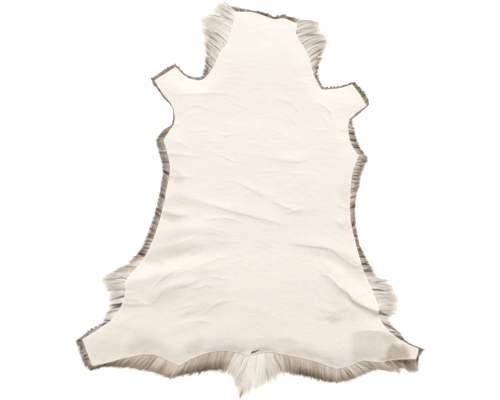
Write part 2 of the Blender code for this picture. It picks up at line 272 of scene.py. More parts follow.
def crest_line(points):
    """A smooth line through a crease's points."""
    points = np.array(points, float)
    ends = np.vstack([2 * points[0] - points[1], points, 2 * points[-1] - points[-2]])
    at = np.linspace(0, len(points) - 1, CREASE_PARTS + 1)
    i = np.minimum(at.astype(int), len(points) - 2)
    return curve(ends[i], ends[i + 1], ends[i + 2], ends[i + 3], (at - i)[:, None])


def nearest_on(points, starts, runs):
    """For each point and each run: its share along the run and its way off it."""
    apart = points[:, None] - starts
    along = np.clip((apart * runs).sum(axis=2) / (runs**2).sum(axis=1), 0, 1)
    return along, apart - along[..., None] * runs


def cross_of(first, second):
    """Twice the area between level runs, above 0 where the second is left of the first."""
    return first[:, 0] * second[:, 1] - first[:, 1] * second[:, 0]


def unit(runs):
    """Directions of length 1."""
    return runs / np.linalg.norm(runs, axis=1)[:, None]


def left_of(runs):
    """Level directions of length 1, square to the runs on their left."""
    return unit(np.column_stack([-runs[:, 1], runs[:, 0]]))


def beside(points, crest):
    """For each point: its distance from the crest, share along it, side, and the run there."""
    runs = np.diff(crest, axis=0)
    along, off = nearest_on(points, crest[:-1], runs)
    away = np.linalg.norm(off, axis=2)
    nearest = away.argmin(axis=1)
    each = np.arange(len(points))
    is_left = cross_of(runs[nearest], off[each, nearest]) > 0
    share = (nearest + along[each, nearest]) / len(runs)
    return away[each, nearest], share, is_left, runs[nearest]


def add_crease(points, height, crease):
    """Raises the skin along one crease: highest midway along it, gone at its ends."""
    places, rise, left, right = crease
    crest = crest_line(places)
    reach = max(left, right)
    low, high = crest.min(axis=0) - reach, crest.max(axis=0) + reach
    near = ((points > low) & (points < high)).all(axis=1)
    if near.any():
        away, share, is_left, _ = beside(points[near], crest)
        slope = np.clip(away / np.where(is_left, left, right), 0, 1)
        height[near] += rise * np.sin(np.pi * share) ** 0.6 * np.cos(slope * np.pi / 2) ** 2


def lay_over(points, fold):
    """Pushes the crest of a fold over its own foot, so that the skin lies on itself there."""
    away, share, is_left, run = beside(points, crest_line(fold[0]))
    width = np.where(is_left, *FOLD_SLOPES)
    push = OVERLAP * np.sin(np.pi * share) ** 0.8 * np.exp(-((away / width) ** 2))
    points -= left_of(run) * push[:, None]


def soften(height, pairs, held, rounds):
    """Takes the CAD's facets out of the heights, and leaves the first, held points alone."""
    near = np.bincount(pairs.ravel(), minlength=len(height))
    for _ in range(rounds):
        total = np.bincount(pairs[:, 0], height[pairs[:, 1]], len(height))
        total += np.bincount(pairs[:, 1], height[pairs[:, 0]], len(height))
        height[held:] = 0.5 * height[held:] + 0.5 * (total / near)[held:]


def in_scene(name, data):
    """An object of this mesh, lamp or camera, put in the scene."""
    made = bpy.data.objects.new(name, data)
    bpy.context.scene.collection.objects.link(made)
    return made


def mesh_of(name, points, faces, smooth_fours=True):
    """A smooth mesh object from points in millimetres, its four-sided faces flat if asked."""
    mesh = bpy.data.meshes.new(name)
    mesh.from_pydata((np.asarray(points) * MM).tolist(), [], faces)
    mesh.update()
    mesh.polygons.foreach_set("use_smooth", [len(face) != 4 or smooth_fours for face in faces])
    return in_scene(name, mesh)


shell = merged_copy("hide")
flesh = flesh_faces(shell)
rim = drawn_fine(edge_round(flesh), EDGE_STEP)
flesh_tree = BVHTree.FromPolygons(
    [v.co.copy() for v in shell.verts],
    [[v.index for v in f.verts] for f in flesh],
)
shell.free()


def height_at(x, y):
    """Height of the CAD's flesh side, or None off the leather, in millimetres."""
    hit = flesh_tree.ray_cast(Vector((x * MM, y * MM, 1.0)), Vector((0, 0, -1)))[0]
    return None if hit is None else hit.z / MM


def level_tree(points):
    """Points sorted by their places for finding the nearest, whatever their heights."""
    tree = KDTree(len(points))
    for i, point in enumerate(points):
        tree.insert((point[0], point[1], 0), i)
    tree.balance()
    return tree


def gap_to(tree, x, y):
    """How far a place lies from the nearest of the tree's points."""
    return tree.find((x, y, 0))[2]


def points_inside(gap, clear):
    """Staggered rows of points on the leather, each an x, a y and a height."""
    near_rim = level_tree(rim)
    low, high = rim.min(axis=0), rim.max(axis=0)
    row_gap = gap * np.sqrt(0.75)  # which makes even triangles
    found = []
    for row, y in enumerate(np.arange(low[1], high[1], row_gap)):
        for x in np.arange(low[0] + (gap / 2 if row % 2 else 0), high[0], gap):
            z = height_at(x, y)
            if z is not None and gap_to(near_rim, x, y) > clear:
                found.append((x, y, z))
    return np.array(found)


def row_inside(gap):
    """A row of points this far in from the rim, between its own, but for its sharp corners."""
    middle = 0.5 * (rim + np.roll(rim, -1, axis=0))
    run = np.roll(rim, -1, axis=0)[:, :2] - rim[:, :2]
    near_rim = level_tree(rim)
    found = []
    for x, y in middle[:, :2] - gap * left_of(run):
        z = height_at(x, y)
        if z is not None and gap_to(near_rim, x, y) > 0.8 * gap:
            found.append((x, y, z))
    return np.array(found)


def filled(ring, inner):
    """Triangles between a ring's points and the inner points, facing up."""
    flat = [Vector(p[:2]) for p in np.concatenate([ring, inner])]
    border = [(i, (i + 1) % len(ring)) for i in range(len(ring))]
    only_inside = 1
    _, _, faces, sources, _, _ = delaunay_2d_cdt(flat, border, [], only_inside, 1e-6)
    index = [source[0] for source in sources]
    return np.array([[index[i] for i in face] for face in faces])


def band(ring_size, first, second):
    """Four-sided faces between two rings of points, which start at these two numbers."""
    turn = np.arange(ring_size)
    ahead = (turn + 1) % ring_size
    return np.stack([turn + first, ahead + first, ahead + second, turn + second], axis=1).tolist()


def closed_sheet(top, faces, ring_size, thick, edge_thick):
    """Points and faces of a sheet: its top, an underside and the cut between them."""
    side_a, side_b = top[faces[:, 1]] - top[faces[:, 0]], top[faces[:, 2]] - top[faces[:, 0]]
    across = np.cross(side_a, side_b)
    normal = np.zeros_like(top)
    for corner in range(3):
        np.add.at(normal, faces[:, corner], across)
    count = len(top)
    all_faces = faces.tolist() + (faces[:, ::-1] + count).tolist() + band(ring_size, 0, count)
    depth = np.full((count, 1), thick)
    depth[:ring_size] = edge_thick
    return np.concatenate([top, top - depth * unit(normal)]), all_faces


def rows_beside(creases, clear, rows=()):
    """Points in rows along each crease: on its crest, on its slopes and at their feet."""
    near_rim = level_tree(rim)
    found, taken = [], set()
    for places, _, left, right in creases:
        crest = crest_line(places)
        steps = np.linalg.norm(np.diff(crest, axis=0), axis=1)
        far = np.concatenate([[0.0], np.cumsum(steps)])
        at = np.arange(0.0, far[-1], CREASE_STEP)
        line = np.column_stack([np.interp(at, far, column) for column in crest.T])
        square = left_of(np.gradient(line, axis=0))
        left, right = min(left, SLOPE_ROWS), min(right, SLOPE_ROWS)
        for off in rows or (0.0, -0.5 * right, 0.5 * left, -right, left):
            for x, y in line + off * square:
                cell = (round(x / clear), round(y / clear))
                z = height_at(x, y)
                if z is None or cell in taken or gap_to(near_rim, x, y) < EDGE_CLEAR:
                    continue
                taken.update((cell[0] + i, cell[1] + j) for i in (0, 1) for j in (0, 1))
                taken.add(cell)
                found.append((x, y, z))
    return np.array(found)


def apart_from(points, others, gap):
    """Those points that keep this far from all the others."""
    tree = level_tree(others)
    return np.array([point for point in points if gap_to(tree, *point[:2]) > gap])


all_creases = CREASES + HIP_CREASES + EDGE_PUCKERS + LAID_OVER
rim_noise = smooth_noise(rim[:, :2], WOBBLE_SIZE, WOBBLE_SIZE, 4.0)
fold_rows = rows_beside(LAID_OVER, FOLD_CLEAR, FOLD_ROWS)
crease_rows = apart_from(rows_beside(all_creases, ROW_CLEAR), fold_rows, FOLD_APART)
crease_rows = np.concatenate([fold_rows, crease_rows])
between = apart_from(points_inside(SKIN_GRID, EDGE_CLEAR), crease_rows, GRID_CLEAR)
inner = np.concatenate([row_inside(EDGE_ROW), crease_rows, between])
flat_faces = filled(rim, inner)
skin_top = np.concatenate([rim, inner])
sides = np.concatenate([flat_faces[:, [0, 1]], flat_faces[:, [1, 2]], flat_faces[:, [2, 0]]])
pairs = np.unique(np.sort(sides), axis=0)
skin_height = skin_top[:, 2].copy()
soften(skin_height, pairs, len(rim), SOFTEN_ROUNDS)
skin_places = skin_top[:, :2].copy()
for crease in all_creases:
    add_crease(skin_places, skin_height, crease)
corner_a, corner_b, corner_c = (skin_places[flat_faces[:, corner]] for corner in range(3))
flat_area = 0.5 * np.abs(cross_of(corner_b - corner_a, corner_c - corner_a)).sum()
lean = np.interp(skin_places[:, 0], [-350, -60, 60, 350], [0.45, 0.1, -0.1, -0.7])
lean *= np.interp(skin_places[:, 1], [-60, 120], [1.0, 0.0])  # the hips' wrinkles slant
wrinkle = smooth_noise(rotated(skin_places, -lean), WRINKLE_LONG, WRINKLE_WIDE, 11.0)
wrinkle_room = smooth_noise(skin_places, 150.0, 110.0, 23.0)
skin_height += WRINKLE_RISE * wrinkle * np.clip(0.5 + 1.6 * wrinkle_room, 0.15, 1)
skin_height += WRINKLE_RISE * smooth_noise(skin_places, 70.0, 42.0, 31.0)  # broad unevenness
for fold in LAID_OVER:
    lay_over(skin_places, fold)
skin_places[: len(rim)] += KNIFE_WOBBLE * rim_noise[:, None]
rim = np.column_stack([rim[:, :2], skin_height[: len(rim)]])
skin_top = np.column_stack([skin_places, skin_height])
skin_points, skin_faces = closed_sheet(skin_top, flat_faces, len(rim), SKIN_THICK, EDGE_THICK)
skin = mesh_of("skin", skin_points, skin_faces, smooth_fours=False)

# Patches where the skin shows greyer: x, y, half length, half width, the turn of its length
# from x in degrees, and how strongly, up to 1. Their grey is partly the skin's own and partly
# painted shade: on the shaded sides of creases and puckers, and on the hem where its edge curls
# down. The thin skin inside the right hind leg lets the coat show through.
PATCHES = [
    (128, -476, 26, 8, -14, 0.35),
    (180, -484, 44, 10, 0, 0.25),
    (193, -484, 30, 13, -14, 0.34),
    (258, -508, 34, 9, -24, 0.30),
    (238, -366, 34, 12, -8, 0.20),
    (125, -440, 26, 12, -10, 0.25),
    (-262, -160, 90, 26, 8, 0.20),
    (-318, -182, 44, 16, -20, 0.30),
    (-270, -300, 70, 34, 20, 0.24),
    (-150, -320, 90, 50, 10, 0.14),
    (-470, -470, 60, 40, 10, 0.20),
    (-340, -450, 50, 34, 10, 0.32),
    (-175, -455, 30, 26, 40, 0.28),
    (-440, -420, 60, 30, 40, 0.12),
    (262, -372, 30, 14, -10, 0.42),
    (298, -352, 40, 20, -35, 0.20),
    (330, -225, 40, 20, -40, 0.22),
    (-248, 78, 40, 14, -5, 0.30),
    (-262, -46, 48, 16, -8, 0.36),
    (-390, -322, 50, 12, -3, 0.45),
    (-225, 0, 60, 20, 0, 0.16),
    (310, -70, 34, 16, 10, 0.24),
    (300, 20, 22, 34, 0, 0.20),
]
# Patches with an outline, how grey and how brown first: the bare belly skin inside the right
# hind leg, thin and browner, its grey partly painted shade where the leather turns down there,
# and painted shade on the hem beside the tail, whose edge curls down over the hair.
OUTLINED = [
    (0.62, 0.0, [(-146, -474), (-112, -464), (-71, -459), (-40, -461), (-12, -469), (-24, -486),
                 (-80, -480), (-120, -482)]),
    (0.62, 0.0, [(10, -464), (33, -459), (55, -461), (76, -472), (86, -488), (50, -484),
                 (20, -474)]),
    (0.42, 0.0, [(317, -443), (326, -417), (343, -412), (380, -414), (414, -413), (445, -421),
                 (436, -450), (425, -480), (409, -500), (374, -506), (345, -512), (320, -520)]),
    (0.30, 0.0, [(320, -440), (336, -416), (362, -420), (360, -465), (340, -500), (318, -505)]),
    (0.30, 0.30, [(414, -424), (446, -424), (464, -434), (452, -452), (430, -452)]),
    (0.30, 0.80, [(405, -506), (426, -492), (436, -464), (448, -448), (470, -456), (486, -452),
                  (498, -470), (503, -500), (470, -512), (430, -512)]),
    (0.0, 0.50, [(446, -446), (462, -456), (484, -462), (484, -478), (468, -474), (452, -462)]),
]
OUTLINE_BLUR = 15.0  # how softly their outlines fade
PATCH_WARP, WARP_SIZE = 14.0, 38.0  # how far the patches are drawn out of shape, in what lumps
OUTLINE_WARP = 0.35  # the share of that which the outlines take
PALE_EDGE = 5.0  # the cut fibres show white this far in from the edge, with a painted highlight along the rim


def share_inside(points, outline):
    """1 well inside an outline and 0 outside, fading across its line."""
    starts, ends = outline, np.roll(outline, -1, axis=0)
    runs = ends - starts
    away = np.linalg.norm(nearest_on(points, starts, runs)[1], axis=2).min(axis=1)
    crosses = (starts[:, 1] > points[:, None, 1]) != (ends[:, 1] > points[:, None, 1])
    height = np.where(runs[:, 1] == 0, 1.0, runs[:, 1])
    at = starts[:, 0] + (points[:, None, 1] - starts[:, 1]) * runs[:, 0] / height
    inside = (crosses & (points[:, None, 0] < at)).sum(axis=1) % 2 == 1
    return np.clip(0.5 + np.where(inside, away, -away) / OUTLINE_BLUR, 0, 1)


def patch_shares(points):
    """How grey, partly with painted shade, and how brown the skin is at each point."""
    warp = PATCH_WARP * np.column_stack(
        [smooth_noise(points, WARP_SIZE, WARP_SIZE, seed) for seed in (51.0, 67.0)]
    )
    grey, brown = np.zeros(len(points)), np.zeros(len(points))
    for x, y, long, wide, turn, strength in PATCHES:
        off = rotated(points + warp - (x, y), -np.radians(turn)) / (long, wide)
        share = np.clip(1.5 - np.hypot(off[:, 0], off[:, 1]), 0, 1)
        grey = np.maximum(grey, strength * share * share * (3 - 2 * share))
    for greyness, brownness, outline in OUTLINED:
        share = share_inside(points + OUTLINE_WARP * warp, np.array(outline, float))
        grey = np.maximum(grey, greyness * share)
        brown = np.maximum(brown, brownness * share)
    return grey, brown


def keep(made, name, values):
    """Keeps a number, or three, for each point of a piece."""
    values = np.asarray(values, np.float32)
    kind, field = ("FLOAT", "value") if values.ndim == 1 else ("FLOAT_VECTOR", "vector")
    attribute = made.data.attributes.new(name, kind, "POINT")
    attribute.data.foreach_set(field, values.ravel())


def store_map(made, name, across, up):
    """Gives a piece a UV map from two numbers for each point."""
    corner = np.zeros(len(made.data.loops), np.int32)
    made.data.loops.foreach_get("vertex_index", corner)
    layer = made.data.uv_layers.new(name=name)
    places = np.column_stack([across, up])[corner].astype(np.float32)
    layer.uv.foreach_set("vector", places.ravel())


grey_and_shade_share, brown_share = patch_shares(skin_places)
near_rim = level_tree(rim)
from_edge = np.array([gap_to(near_rim, x, y) for x, y in skin_places])
# The greyness carries painted shade as well as the skin's own grey.
keep(skin, "grey_and_painted_shade", np.tile(grey_and_shade_share, 2))
keep(skin, "browned", np.tile(brown_share, 2))
# A painted highlight along the rim, over the paler cut fibres.
keep(skin, "pale_cut_and_highlight", np.tile(np.clip(1 - from_edge / PALE_EDGE, 0, 1), 2))
low, high = skin_points.min(axis=0), skin_points.max(axis=0)
BAKE_MAP = "OFBake"  # the name of each piece's own UV map
MAP_MARGIN = 0.01
plan = MAP_MARGIN + (1 - 2 * MAP_MARGIN) * (skin_points - low) / (high - low)
store_map(skin, BAKE_MAP, plan[:, 0], plan[:, 1])


class Wire:
    """What one socket gives, so that sums on it are written as sums."""

    def __init__(self, finish, socket):
        self.finish = finish
        self.socket = socket

    def _sum(self, operation, first, second, clamp=False):
        settings = {"operation": operation, "use_clamp": clamp}
        return self.finish.node("ShaderNodeMath", settings, {0: first, 1: second})

    def __add__(self, other):
        return self._sum("ADD", self, other)

    def __radd__(self, other):
        return self._sum("ADD", other, self)

    def __sub__(self, other):
        return self._sum("SUBTRACT", self, other)

    def __rsub__(self, other):
        return self._sum("SUBTRACT", other, self)

    def __mul__(self, other):
        return self._sum("MULTIPLY", self, other)

    def __rmul__(self, other):
        return self._sum("MULTIPLY", other, self)

    def limited(self):
        """Held between 0 and 1."""
        return self._sum("ADD", self, 0.0, clamp=True)


class Finish:
    """A finish under way: its material, and a way to lay each node."""

    def __init__(self, name):
        self.material = bpy.data.materials.new(name)
        self.material.use_nodes = True
        self.tree = self.material.node_tree
        self.shader = self.tree.nodes["Principled BSDF"]

    def node(self, kind, settings=None, sockets=None, output=0):
        """Lays one node: its settings first, then the values or wires of its sockets."""
        made = self.tree.nodes.new(kind)
        for name, value in (settings or {}).items():
            setattr(made, name, value)
        for name, value in (sockets or {}).items():
            self.feed(made.inputs[name], value)
        return Wire(self, made.outputs[output])

    def feed(self, socket, value):
        if isinstance(value, Wire):
            self.tree.links.new(value.socket, socket)
        else:
            socket.default_value = value

    def mixed(self, factor, first, second, blend="MIX"):
        settings = {"data_type": "RGBA", "blend_type": blend}
        return self.node("ShaderNodeMix", settings, {0: factor, 6: first, 7: second}, output=2)

    def ramp(self, factor, stops):
        """Colours that pass from stop to stop: a place from 0 to 1, and the colour there."""
        laid = self.node("ShaderNodeValToRGB", sockets={0: factor})
        elements = laid.socket.node.color_ramp.elements
        while len(elements) < len(stops):
            elements.new(1.0)
        for element, (place, colour) in zip(elements, stops):
            element.position = place
            element.color = colour
        return laid

    def speckle(self, place, scale, detail=3.0, distortion=0.0):
        sockets = {"Vector": place, "Scale": scale, "Detail": detail, "Distortion": distortion}
        return self.node("ShaderNodeTexNoise", sockets=sockets)

    def kept(self, name):
        """The number kept under this name at each point of the piece."""
        return self.node("ShaderNodeAttribute", {"attribute_name": name}, output=2)

    def grain(self, strength, depth, height):
        sockets = {"Strength": strength, "Distance": depth, "Height": height}
        return self.node("ShaderNodeBump", sockets=sockets)

    def surface(self, **inputs):
        """Sets the shader's own sockets, named with _ for a space."""
        for name, value in inputs.items():
            self.feed(self.shader.inputs[name.replace("_", " ")], value)


def seen(red, green, blue):
    """A colour as it is seen, each part from 0 to 255, as the renderer's own."""
    parts = np.array([red, green, blue]) / 255
    line = np.where(parts <= 0.04045, parts / 12.92, ((parts + 0.055) / 1.055) ** 2.4)
    return (*line.tolist(), 1.0)


BACK_FROM, BACK_TO = -0.55, 0.60  # where the leather's colour runs, darker at the tail and paler at the neck


def leather():
    """White buffed leather: warm, faintly mottled, darker towards the tail, greyer by its patches
    and their painted shade, browner where thin, and pale at the cut with a painted highlight.
    """
    finish = Finish("dressed_leather")
    place = finish.node("ShaderNodeTexCoord", output=3)
    up_the_back = finish.node("ShaderNodeSeparateXYZ", sockets={0: place}, output=1)
    share = finish.node(
        "ShaderNodeMapRange", sockets={0: up_the_back, 1: BACK_FROM, 2: BACK_TO, 3: 0.0, 4: 1.0}
    )
    # The leather runs darker towards the tail and paler towards the neck.
    base = finish.ramp(
        share,
        [
            (0.0, seen(241, 234, 223)),
            (0.35, seen(247, 239, 229)),
            (0.65, seen(250, 243, 233)),
            (1.0, seen(250, 246, 237)),
        ],
    )
    clouds = finish.speckle(place, 9.0)
    mottle = finish.speckle(place, 75.0, detail=4.0)
    fibre = finish.speckle(place, 620.0)
    turn, scale = (0.0, 0.0, 0.12), (48.0, 105.0, 1.0)  # drawn out across the back
    drawn = finish.node("ShaderNodeMapping", sockets={0: place, 2: turn, 3: scale})
    crinkle = finish.speckle(drawn, 1.0, distortion=1.4)
    cloudy = (1.6 * clouds - 0.55).limited() * 0.14
    mottled = (2.2 * mottle - 0.75).limited() * 0.14
    blotch = 0.72 + 0.56 * mottle
    colour = finish.mixed(cloudy, base, seen(228, 217, 204))
    colour = finish.mixed(mottled, colour, seen(232, 221, 208))
    # Grey from the patches: partly the skin's own, partly painted shade on creases, puckers and the
    # curled hem.
    grey_and_painted_shade = (finish.kept("grey_and_painted_shade") * blotch).limited()
    colour = finish.mixed(grey_and_painted_shade, colour, seen(203, 192, 178))
    browned = (finish.kept("browned") * blotch).limited()
    colour = finish.mixed(browned, colour, seen(180, 168, 146))
    colour = finish.mixed((0.20 * fibre - 0.05).limited(), colour, seen(224, 213, 199))
    # The pale cut edge: partly the white cut fibres, partly a painted highlight along the rim.
    white_cut_and_highlight = (0.9 * finish.kept("pale_cut_and_highlight")).limited()
    colour = finish.mixed(white_cut_and_highlight, colour, seen(255, 252, 246))
    roughness = 0.78 + 0.14 * mottle
    grain = finish.grain(0.35, 0.0004, fibre + 1.5 * mottle + 9.0 * crinkle)
    finish.surface(Base_Color=colour, Roughness=roughness, Normal=grain, Specular_IOR_Level=0.2)
    return finish.material


skin.data.materials.append(leather())


# ---- The coat: under-wool ------------------------------------------------------------------
# Dense crinkled wool grows under the long hair and carries the skin off the floor. It fills
# the pile from just inside the cut edge to just short of the hair's tips, and lies flat below.

# The coat clockwise from the neck's left corner: x, y on the cut edge; how far the hair
# reaches past it in x and y; and how ragged its ends are.
HEAD = [
    (-51, 598, -30, 29, 0.18),
    (-38, 597, -6, 18, 0.15),
    (11, 595, 0, 10, 0.25),
    (52, 582, 3, 17, 0.3),
    (74, 574, 2, 16, 0.3),
    (103, 577, 3, 19, 0.25),
    (138, 563, 8, 18, 0.2),
]
NECK_RIGHT = [
    (147, 558, 54, 12, 0.25),
    (147, 544, 74, 8, 0.25),
    (144, 529, 79, 9, 0.25),
    (154, 506, 72, 20, 0.22),
    (166, 491, 73, 22, 0.22),
    (178, 467, 62, 24, 0.18),
    (187, 449, 39, 19, 0.12),
    (194, 424, 23, 11, 0.12),
    (201, 396, 11, 6, 0.12),
    (226, 351, 2, 9, 0.15),
]
FORELEG_RIGHT = [
    (283, 357, -1, 7, 0.12),
    (321, 369, 8, 11, 0.12),
    (347, 335, 17, 10, 0.12),
    (367, 301, 12, 9, 0.12),
    (337, 279, 6, -5, 0.12),
    (313, 258, 9, 1, 0.15),
]
FLANK_RIGHT = [
    (309, 237, 21, -3, 0.1),
    (314, 205, 24, -4, 0.1),
    (321, 174, 29, -6, 0.1),
    (342, 142, 33, -9, 0.12),
    (326, 101, 30, -4, 0.12),
    (318, 60, 28, -7, 0.1),
    (315, 19, 23, 7, 0.1),
    (315, -25, 19, 10, 0.1),
    (317, -66, 16, 12, 0.12),
    (332, -133, 14, -4, 0.12),
    (346, -185, 25, 0, 0.14),
    (359, -225, 38, 3, 0.2),
    (372, -255, 62, -2, 0.22),
    (385, -282, 76, -6, 0.25),
    (397, -314, 66, -9, 0.25),
]
GROIN_RIGHT = [
    (405, -345, 54, -11, 0.25),
    (406, -361, 30, -12, 0.2),
    (420, -388, 32, -16, 0.18),
    (432, -405, 38, -13, 0.15),
    (456, -424, 24, -8, 0.12),
    (479, -443, 20, -7, 0.12),
    (505, -456, 18, -6, 0.12),
    (532, -468, 18, -3, 0.15),
]
LEG_RIGHT = [
    (530, -484, 8, -12, 0.14),
    (524, -500, 0, -42, 0.14),
    (495, -501, 22, -46, 0.14),
    (461, -502, 46, -42, 0.16),
    (432, -506, 47, -32, 0.16),
]
HEM_RIGHT = [
    (404, -510, 45, -26, 0.07),
    (353, -506, 41, -26, 0.06),
    (315, -522, 34, -28, 0.05),
    (285, -528, 24, -38, 0.05),
    (271, -532, 8, -41, 0.05),
    (235, -518, 6, -50, 0.05),
    (195, -506, 3, -50, 0.05),
    (150, -493, 3, -52, 0.05),
    (109, -487, 8, -52, 0.06),
]
TAIL = [
    (80, -481, 24, -62, 0.2),
    (68, -479, 20, -80, 0.2),
    (55, -478, 15, -102, 0.18),
    (36, -481, -2, -124, 0.15),
    (22, -483, -38, -134, 0.1),
    (11, -484, -40, -138, 0.06),
    (0, -487, -32, -124, 0.1),
    (-11, -489, -34, -96, 0.15),
    (-33, -481, -38, -72, 0.18),
]
HEM_LEFT = [
    (-66, -474, -24, -56, 0.07),
    (-103, -475, -10, -57, 0.05),
    (-132, -480, -18, -56, 0.05),
    (-160, -489, -26, -54, 0.05),
    (-195, -505, -28, -46, 0.05),
    (-229, -522, -28, -36, 0.05),
    (-270, -503, -34, -38, 0.05),
    (-312, -486, -38, -45, 0.05),
    (-350, -487, -38, -37, 0.05),
    (-388, -495, -30, -28, 0.05),
    (-422, -503, -26, -18, 0.05),
    (-457, -513, -11, -11, 0.05),
    (-500, -522, -6, -16, 0.05),
]
LEG_LEFT = [
    (-508, -500, -20, -20, 0.1),
    (-516, -481, -24, -9, 0.12),
    (-532, -438, -23, -5, 0.12),
]
GROIN_LEFT = [
    (-506, -420, -10, 10, 0.12),
    (-479, -404, -5, 9, 0.12),
    (-442, -378, -20, -5, 0.15),
    (-420, -345, -40, -15, 0.18),
    (-405, -320, -36, -8, 0.18),
    (-396, -285, -52, -10, 0.22),
    (-397, -255, -70, -12, 0.25),
    (-378, -232, -83, -15, 0.25),
    (-352, -198, -63, -9, 0.25),
]
FLANK_LEFT = [
    (-337, -175, -43, -5, 0.22),
    (-323, -155, -30, -2, 0.15),
    (-305, -110, -24, 6, 0.12),
    (-291, -73, -22, 9, 0.1),
    (-278, -20, -17, 20, 0.1),
    (-266, 32, -18, 20, 0.1),
    (-258, 70, -20, 16, 0.1),
    (-255, 104, -24, 4, 0.1),
    (-264, 150, -26, -2, 0.1),
    (-275, 193, -26, 0, 0.12),
    (-259, 218, -22, 5, 0.12),
    (-242, 245, -8, -3, 0.12),
    (-245, 294, -2, 0, 0.12),
]
FORELEG_LEFT = [
    (-262, 320, -7, -1, 0.12),
    (-280, 342, -6, -2, 0.12),
    (-304, 381, -15, 5, 0.12),
    (-270, 403, -8, 14, 0.12),
    (-237, 423, -3, 15, 0.12),
    (-195, 388, -1, 11, 0.15),
    (-157, 382, -5, 12, 0.15),
]
NECK_LEFT = [
    (-138, 392, -11, 8, 0.12),
    (-122, 416, -21, 15, 0.12),
    (-112, 438, -28, 20, 0.15),
    (-103, 459, -38, 29, 0.18),
    (-88, 480, -58, 40, 0.2),
    (-74, 500, -78, 50, 0.22),
    (-63, 532, -93, 36, 0.25),
    (-59, 550, -92, 30, 0.25),
    (-55, 567, -78, 31, 0.25),
    (-52, 589, -54, 42, 0.22),
]

# The coat's tones where they change, clockwise too: x, y on the cut edge; the tone at root,
# middle and tip, from 0 black to 255 white.
TONES = [
    (-38, 597, 205, 180, 160),  # the neck's end
    (52, 582, 180, 155, 120),
    (120, 570, 190, 170, 130),
    (147, 544, 235, 245, 235),  # the right of the neck
    (166, 491, 245, 250, 240),
    (194, 424, 225, 215, 200),
    (226, 351, 185, 165, 150),
    (321, 369, 170, 130, 100),  # the right foreleg
    (367, 301, 190, 160, 115),
    (313, 258, 200, 190, 165),
    (326, 101, 225, 220, 150),  # the right flank
    (318, 60, 230, 225, 165),
    (315, -25, 200, 190, 170),
    (332, -133, 190, 170, 155),
    (346, -185, 200, 190, 150),
    (372, -255, 240, 245, 235),  # the right groin
    (405, -345, 250, 250, 245),
    (432, -405, 230, 235, 225),
    (479, -443, 210, 180, 150),
    (505, -456, 170, 135, 120),
    (524, -500, 160, 180, 215),  # the right hind leg's end
    (461, -502, 160, 175, 200),
    (404, -510, 190, 195, 185),  # the hem right of the tail
    (315, -522, 215, 210, 185),
    (271, -532, 210, 200, 150),
    (195, -506, 205, 185, 105),
    (150, -493, 205, 185, 100),
    (109, -487, 205, 200, 170),
    (80, -481, 215, 225, 225),  # the tail
    (36, -481, 235, 245, 250),
    (0, -487, 235, 245, 250),
    (-33, -481, 215, 230, 230),
    (-66, -474, 205, 195, 140),  # the hem left of the tail
    (-132, -480, 195, 185, 90),
    (-195, -505, 200, 190, 150),
    (-229, -522, 220, 210, 165),
    (-312, -486, 205, 195, 160),
    (-388, -495, 205, 185, 145),
    (-457, -513, 185, 160, 130),
    (-516, -481, 185, 175, 160),  # the left hind leg's end
    (-506, -420, 190, 165, 120),
    (-442, -378, 230, 225, 225),  # the left groin
    (-405, -320, 245, 245, 245),
    (-397, -255, 250, 250, 250),
    (-352, -198, 235, 225, 225),
    (-323, -155, 200, 180, 120),  # the left flank
    (-291, -73, 205, 190, 140),
    (-266, 32, 205, 180, 160),
    (-255, 104, 205, 205, 120),
    (-275, 193, 190, 195, 110),
    (-242, 245, 150, 160, 150),
    (-280, 342, 165, 145, 130),  # the left foreleg
    (-304, 381, 190, 145, 130),
    (-237, 423, 180, 145, 125),
    (-157, 382, 190, 170, 160),
    (-122, 416, 215, 215, 200),  # the left of the neck
    (-103, 459, 240, 245, 225),
    (-63, 532, 252, 252, 245),
    (-52, 589, 245, 250, 240),
]

COAT = (
    HEAD + NECK_RIGHT + FORELEG_RIGHT + FLANK_RIGHT + GROIN_RIGHT + LEG_RIGHT + HEM_RIGHT + TAIL
    + HEM_LEFT + LEG_LEFT + GROIN_LEFT + FLANK_LEFT + FORELEG_LEFT + NECK_LEFT
)
STEADY = 6.0  # a direction inwards is taken over twice this length of the rim

WOOL_STEP = 5.0  # spacing of points round the wool
WOOL_GRID = 26.0  # spacing of points across its top and its underside
WOOL_CLEAR = 20.0  # how far in from the rim those begin
# The wool's side: how far out along the hair's reach, and how far down from root to floor.
WOOL_SIDE = [(0.00, 0.14), (0.26, 0.36), (0.48, 0.60), (0.62, 0.78), (0.66, 0.88), (0.56, 0.94)]
WOOL_REACH, WOOL_RAGGED = 0.92, 0.12  # its share of the hair's reach, and how that varies
WOOL_ROOT = 1.6  # it begins this far under the cut
WOOL_TOP = 3.5  # and this far under the flesh side's leather
WOOL_LOW = 1.5  # its side comes down to this height over the floor
WOOL_FOOT = 1.6  # the rim of its underside
WOOL_BELLY, BELLY_LUMPS = 2.2, 0.8  # the rest of its underside, and how uneven that is
WOOL_DARKER, WOOL_MOTTLE = 20.0, 9.0  # how much darker than the hair it is, partly painted shade for the gaps between locks, and how uneven
BODY_TONE, BODY_MOTTLE = 150.0, 20.0  # the same for what lies under the leather


def along_rim(points):
    """How far along the rim each of its points lies, and its whole length."""
    steps = np.linalg.norm(np.diff(points, axis=0, append=points[:1])[:, :2], axis=1)
    return np.concatenate([[0.0], np.cumsum(steps)[:-1]]), steps.sum()


rim_at, rim_length = along_rim(rim)


def place_on_rim(x, y):
    """How far along the rim its nearest point to a place lies."""
    return rim_at[np.hypot(rim[:, 0] - x, rim[:, 1] - y).argmin()]


def round_the_rim(table, at):
    """A table's columns after x and y at places along the rim, passing from row to row."""
    row_at = [place_on_rim(row[0], row[1]) for row in table]
    columns = np.array([row[2:] for row in table], float).T
    return np.column_stack(
        [np.interp(at, row_at, column, period=rim_length) for column in columns]
    )


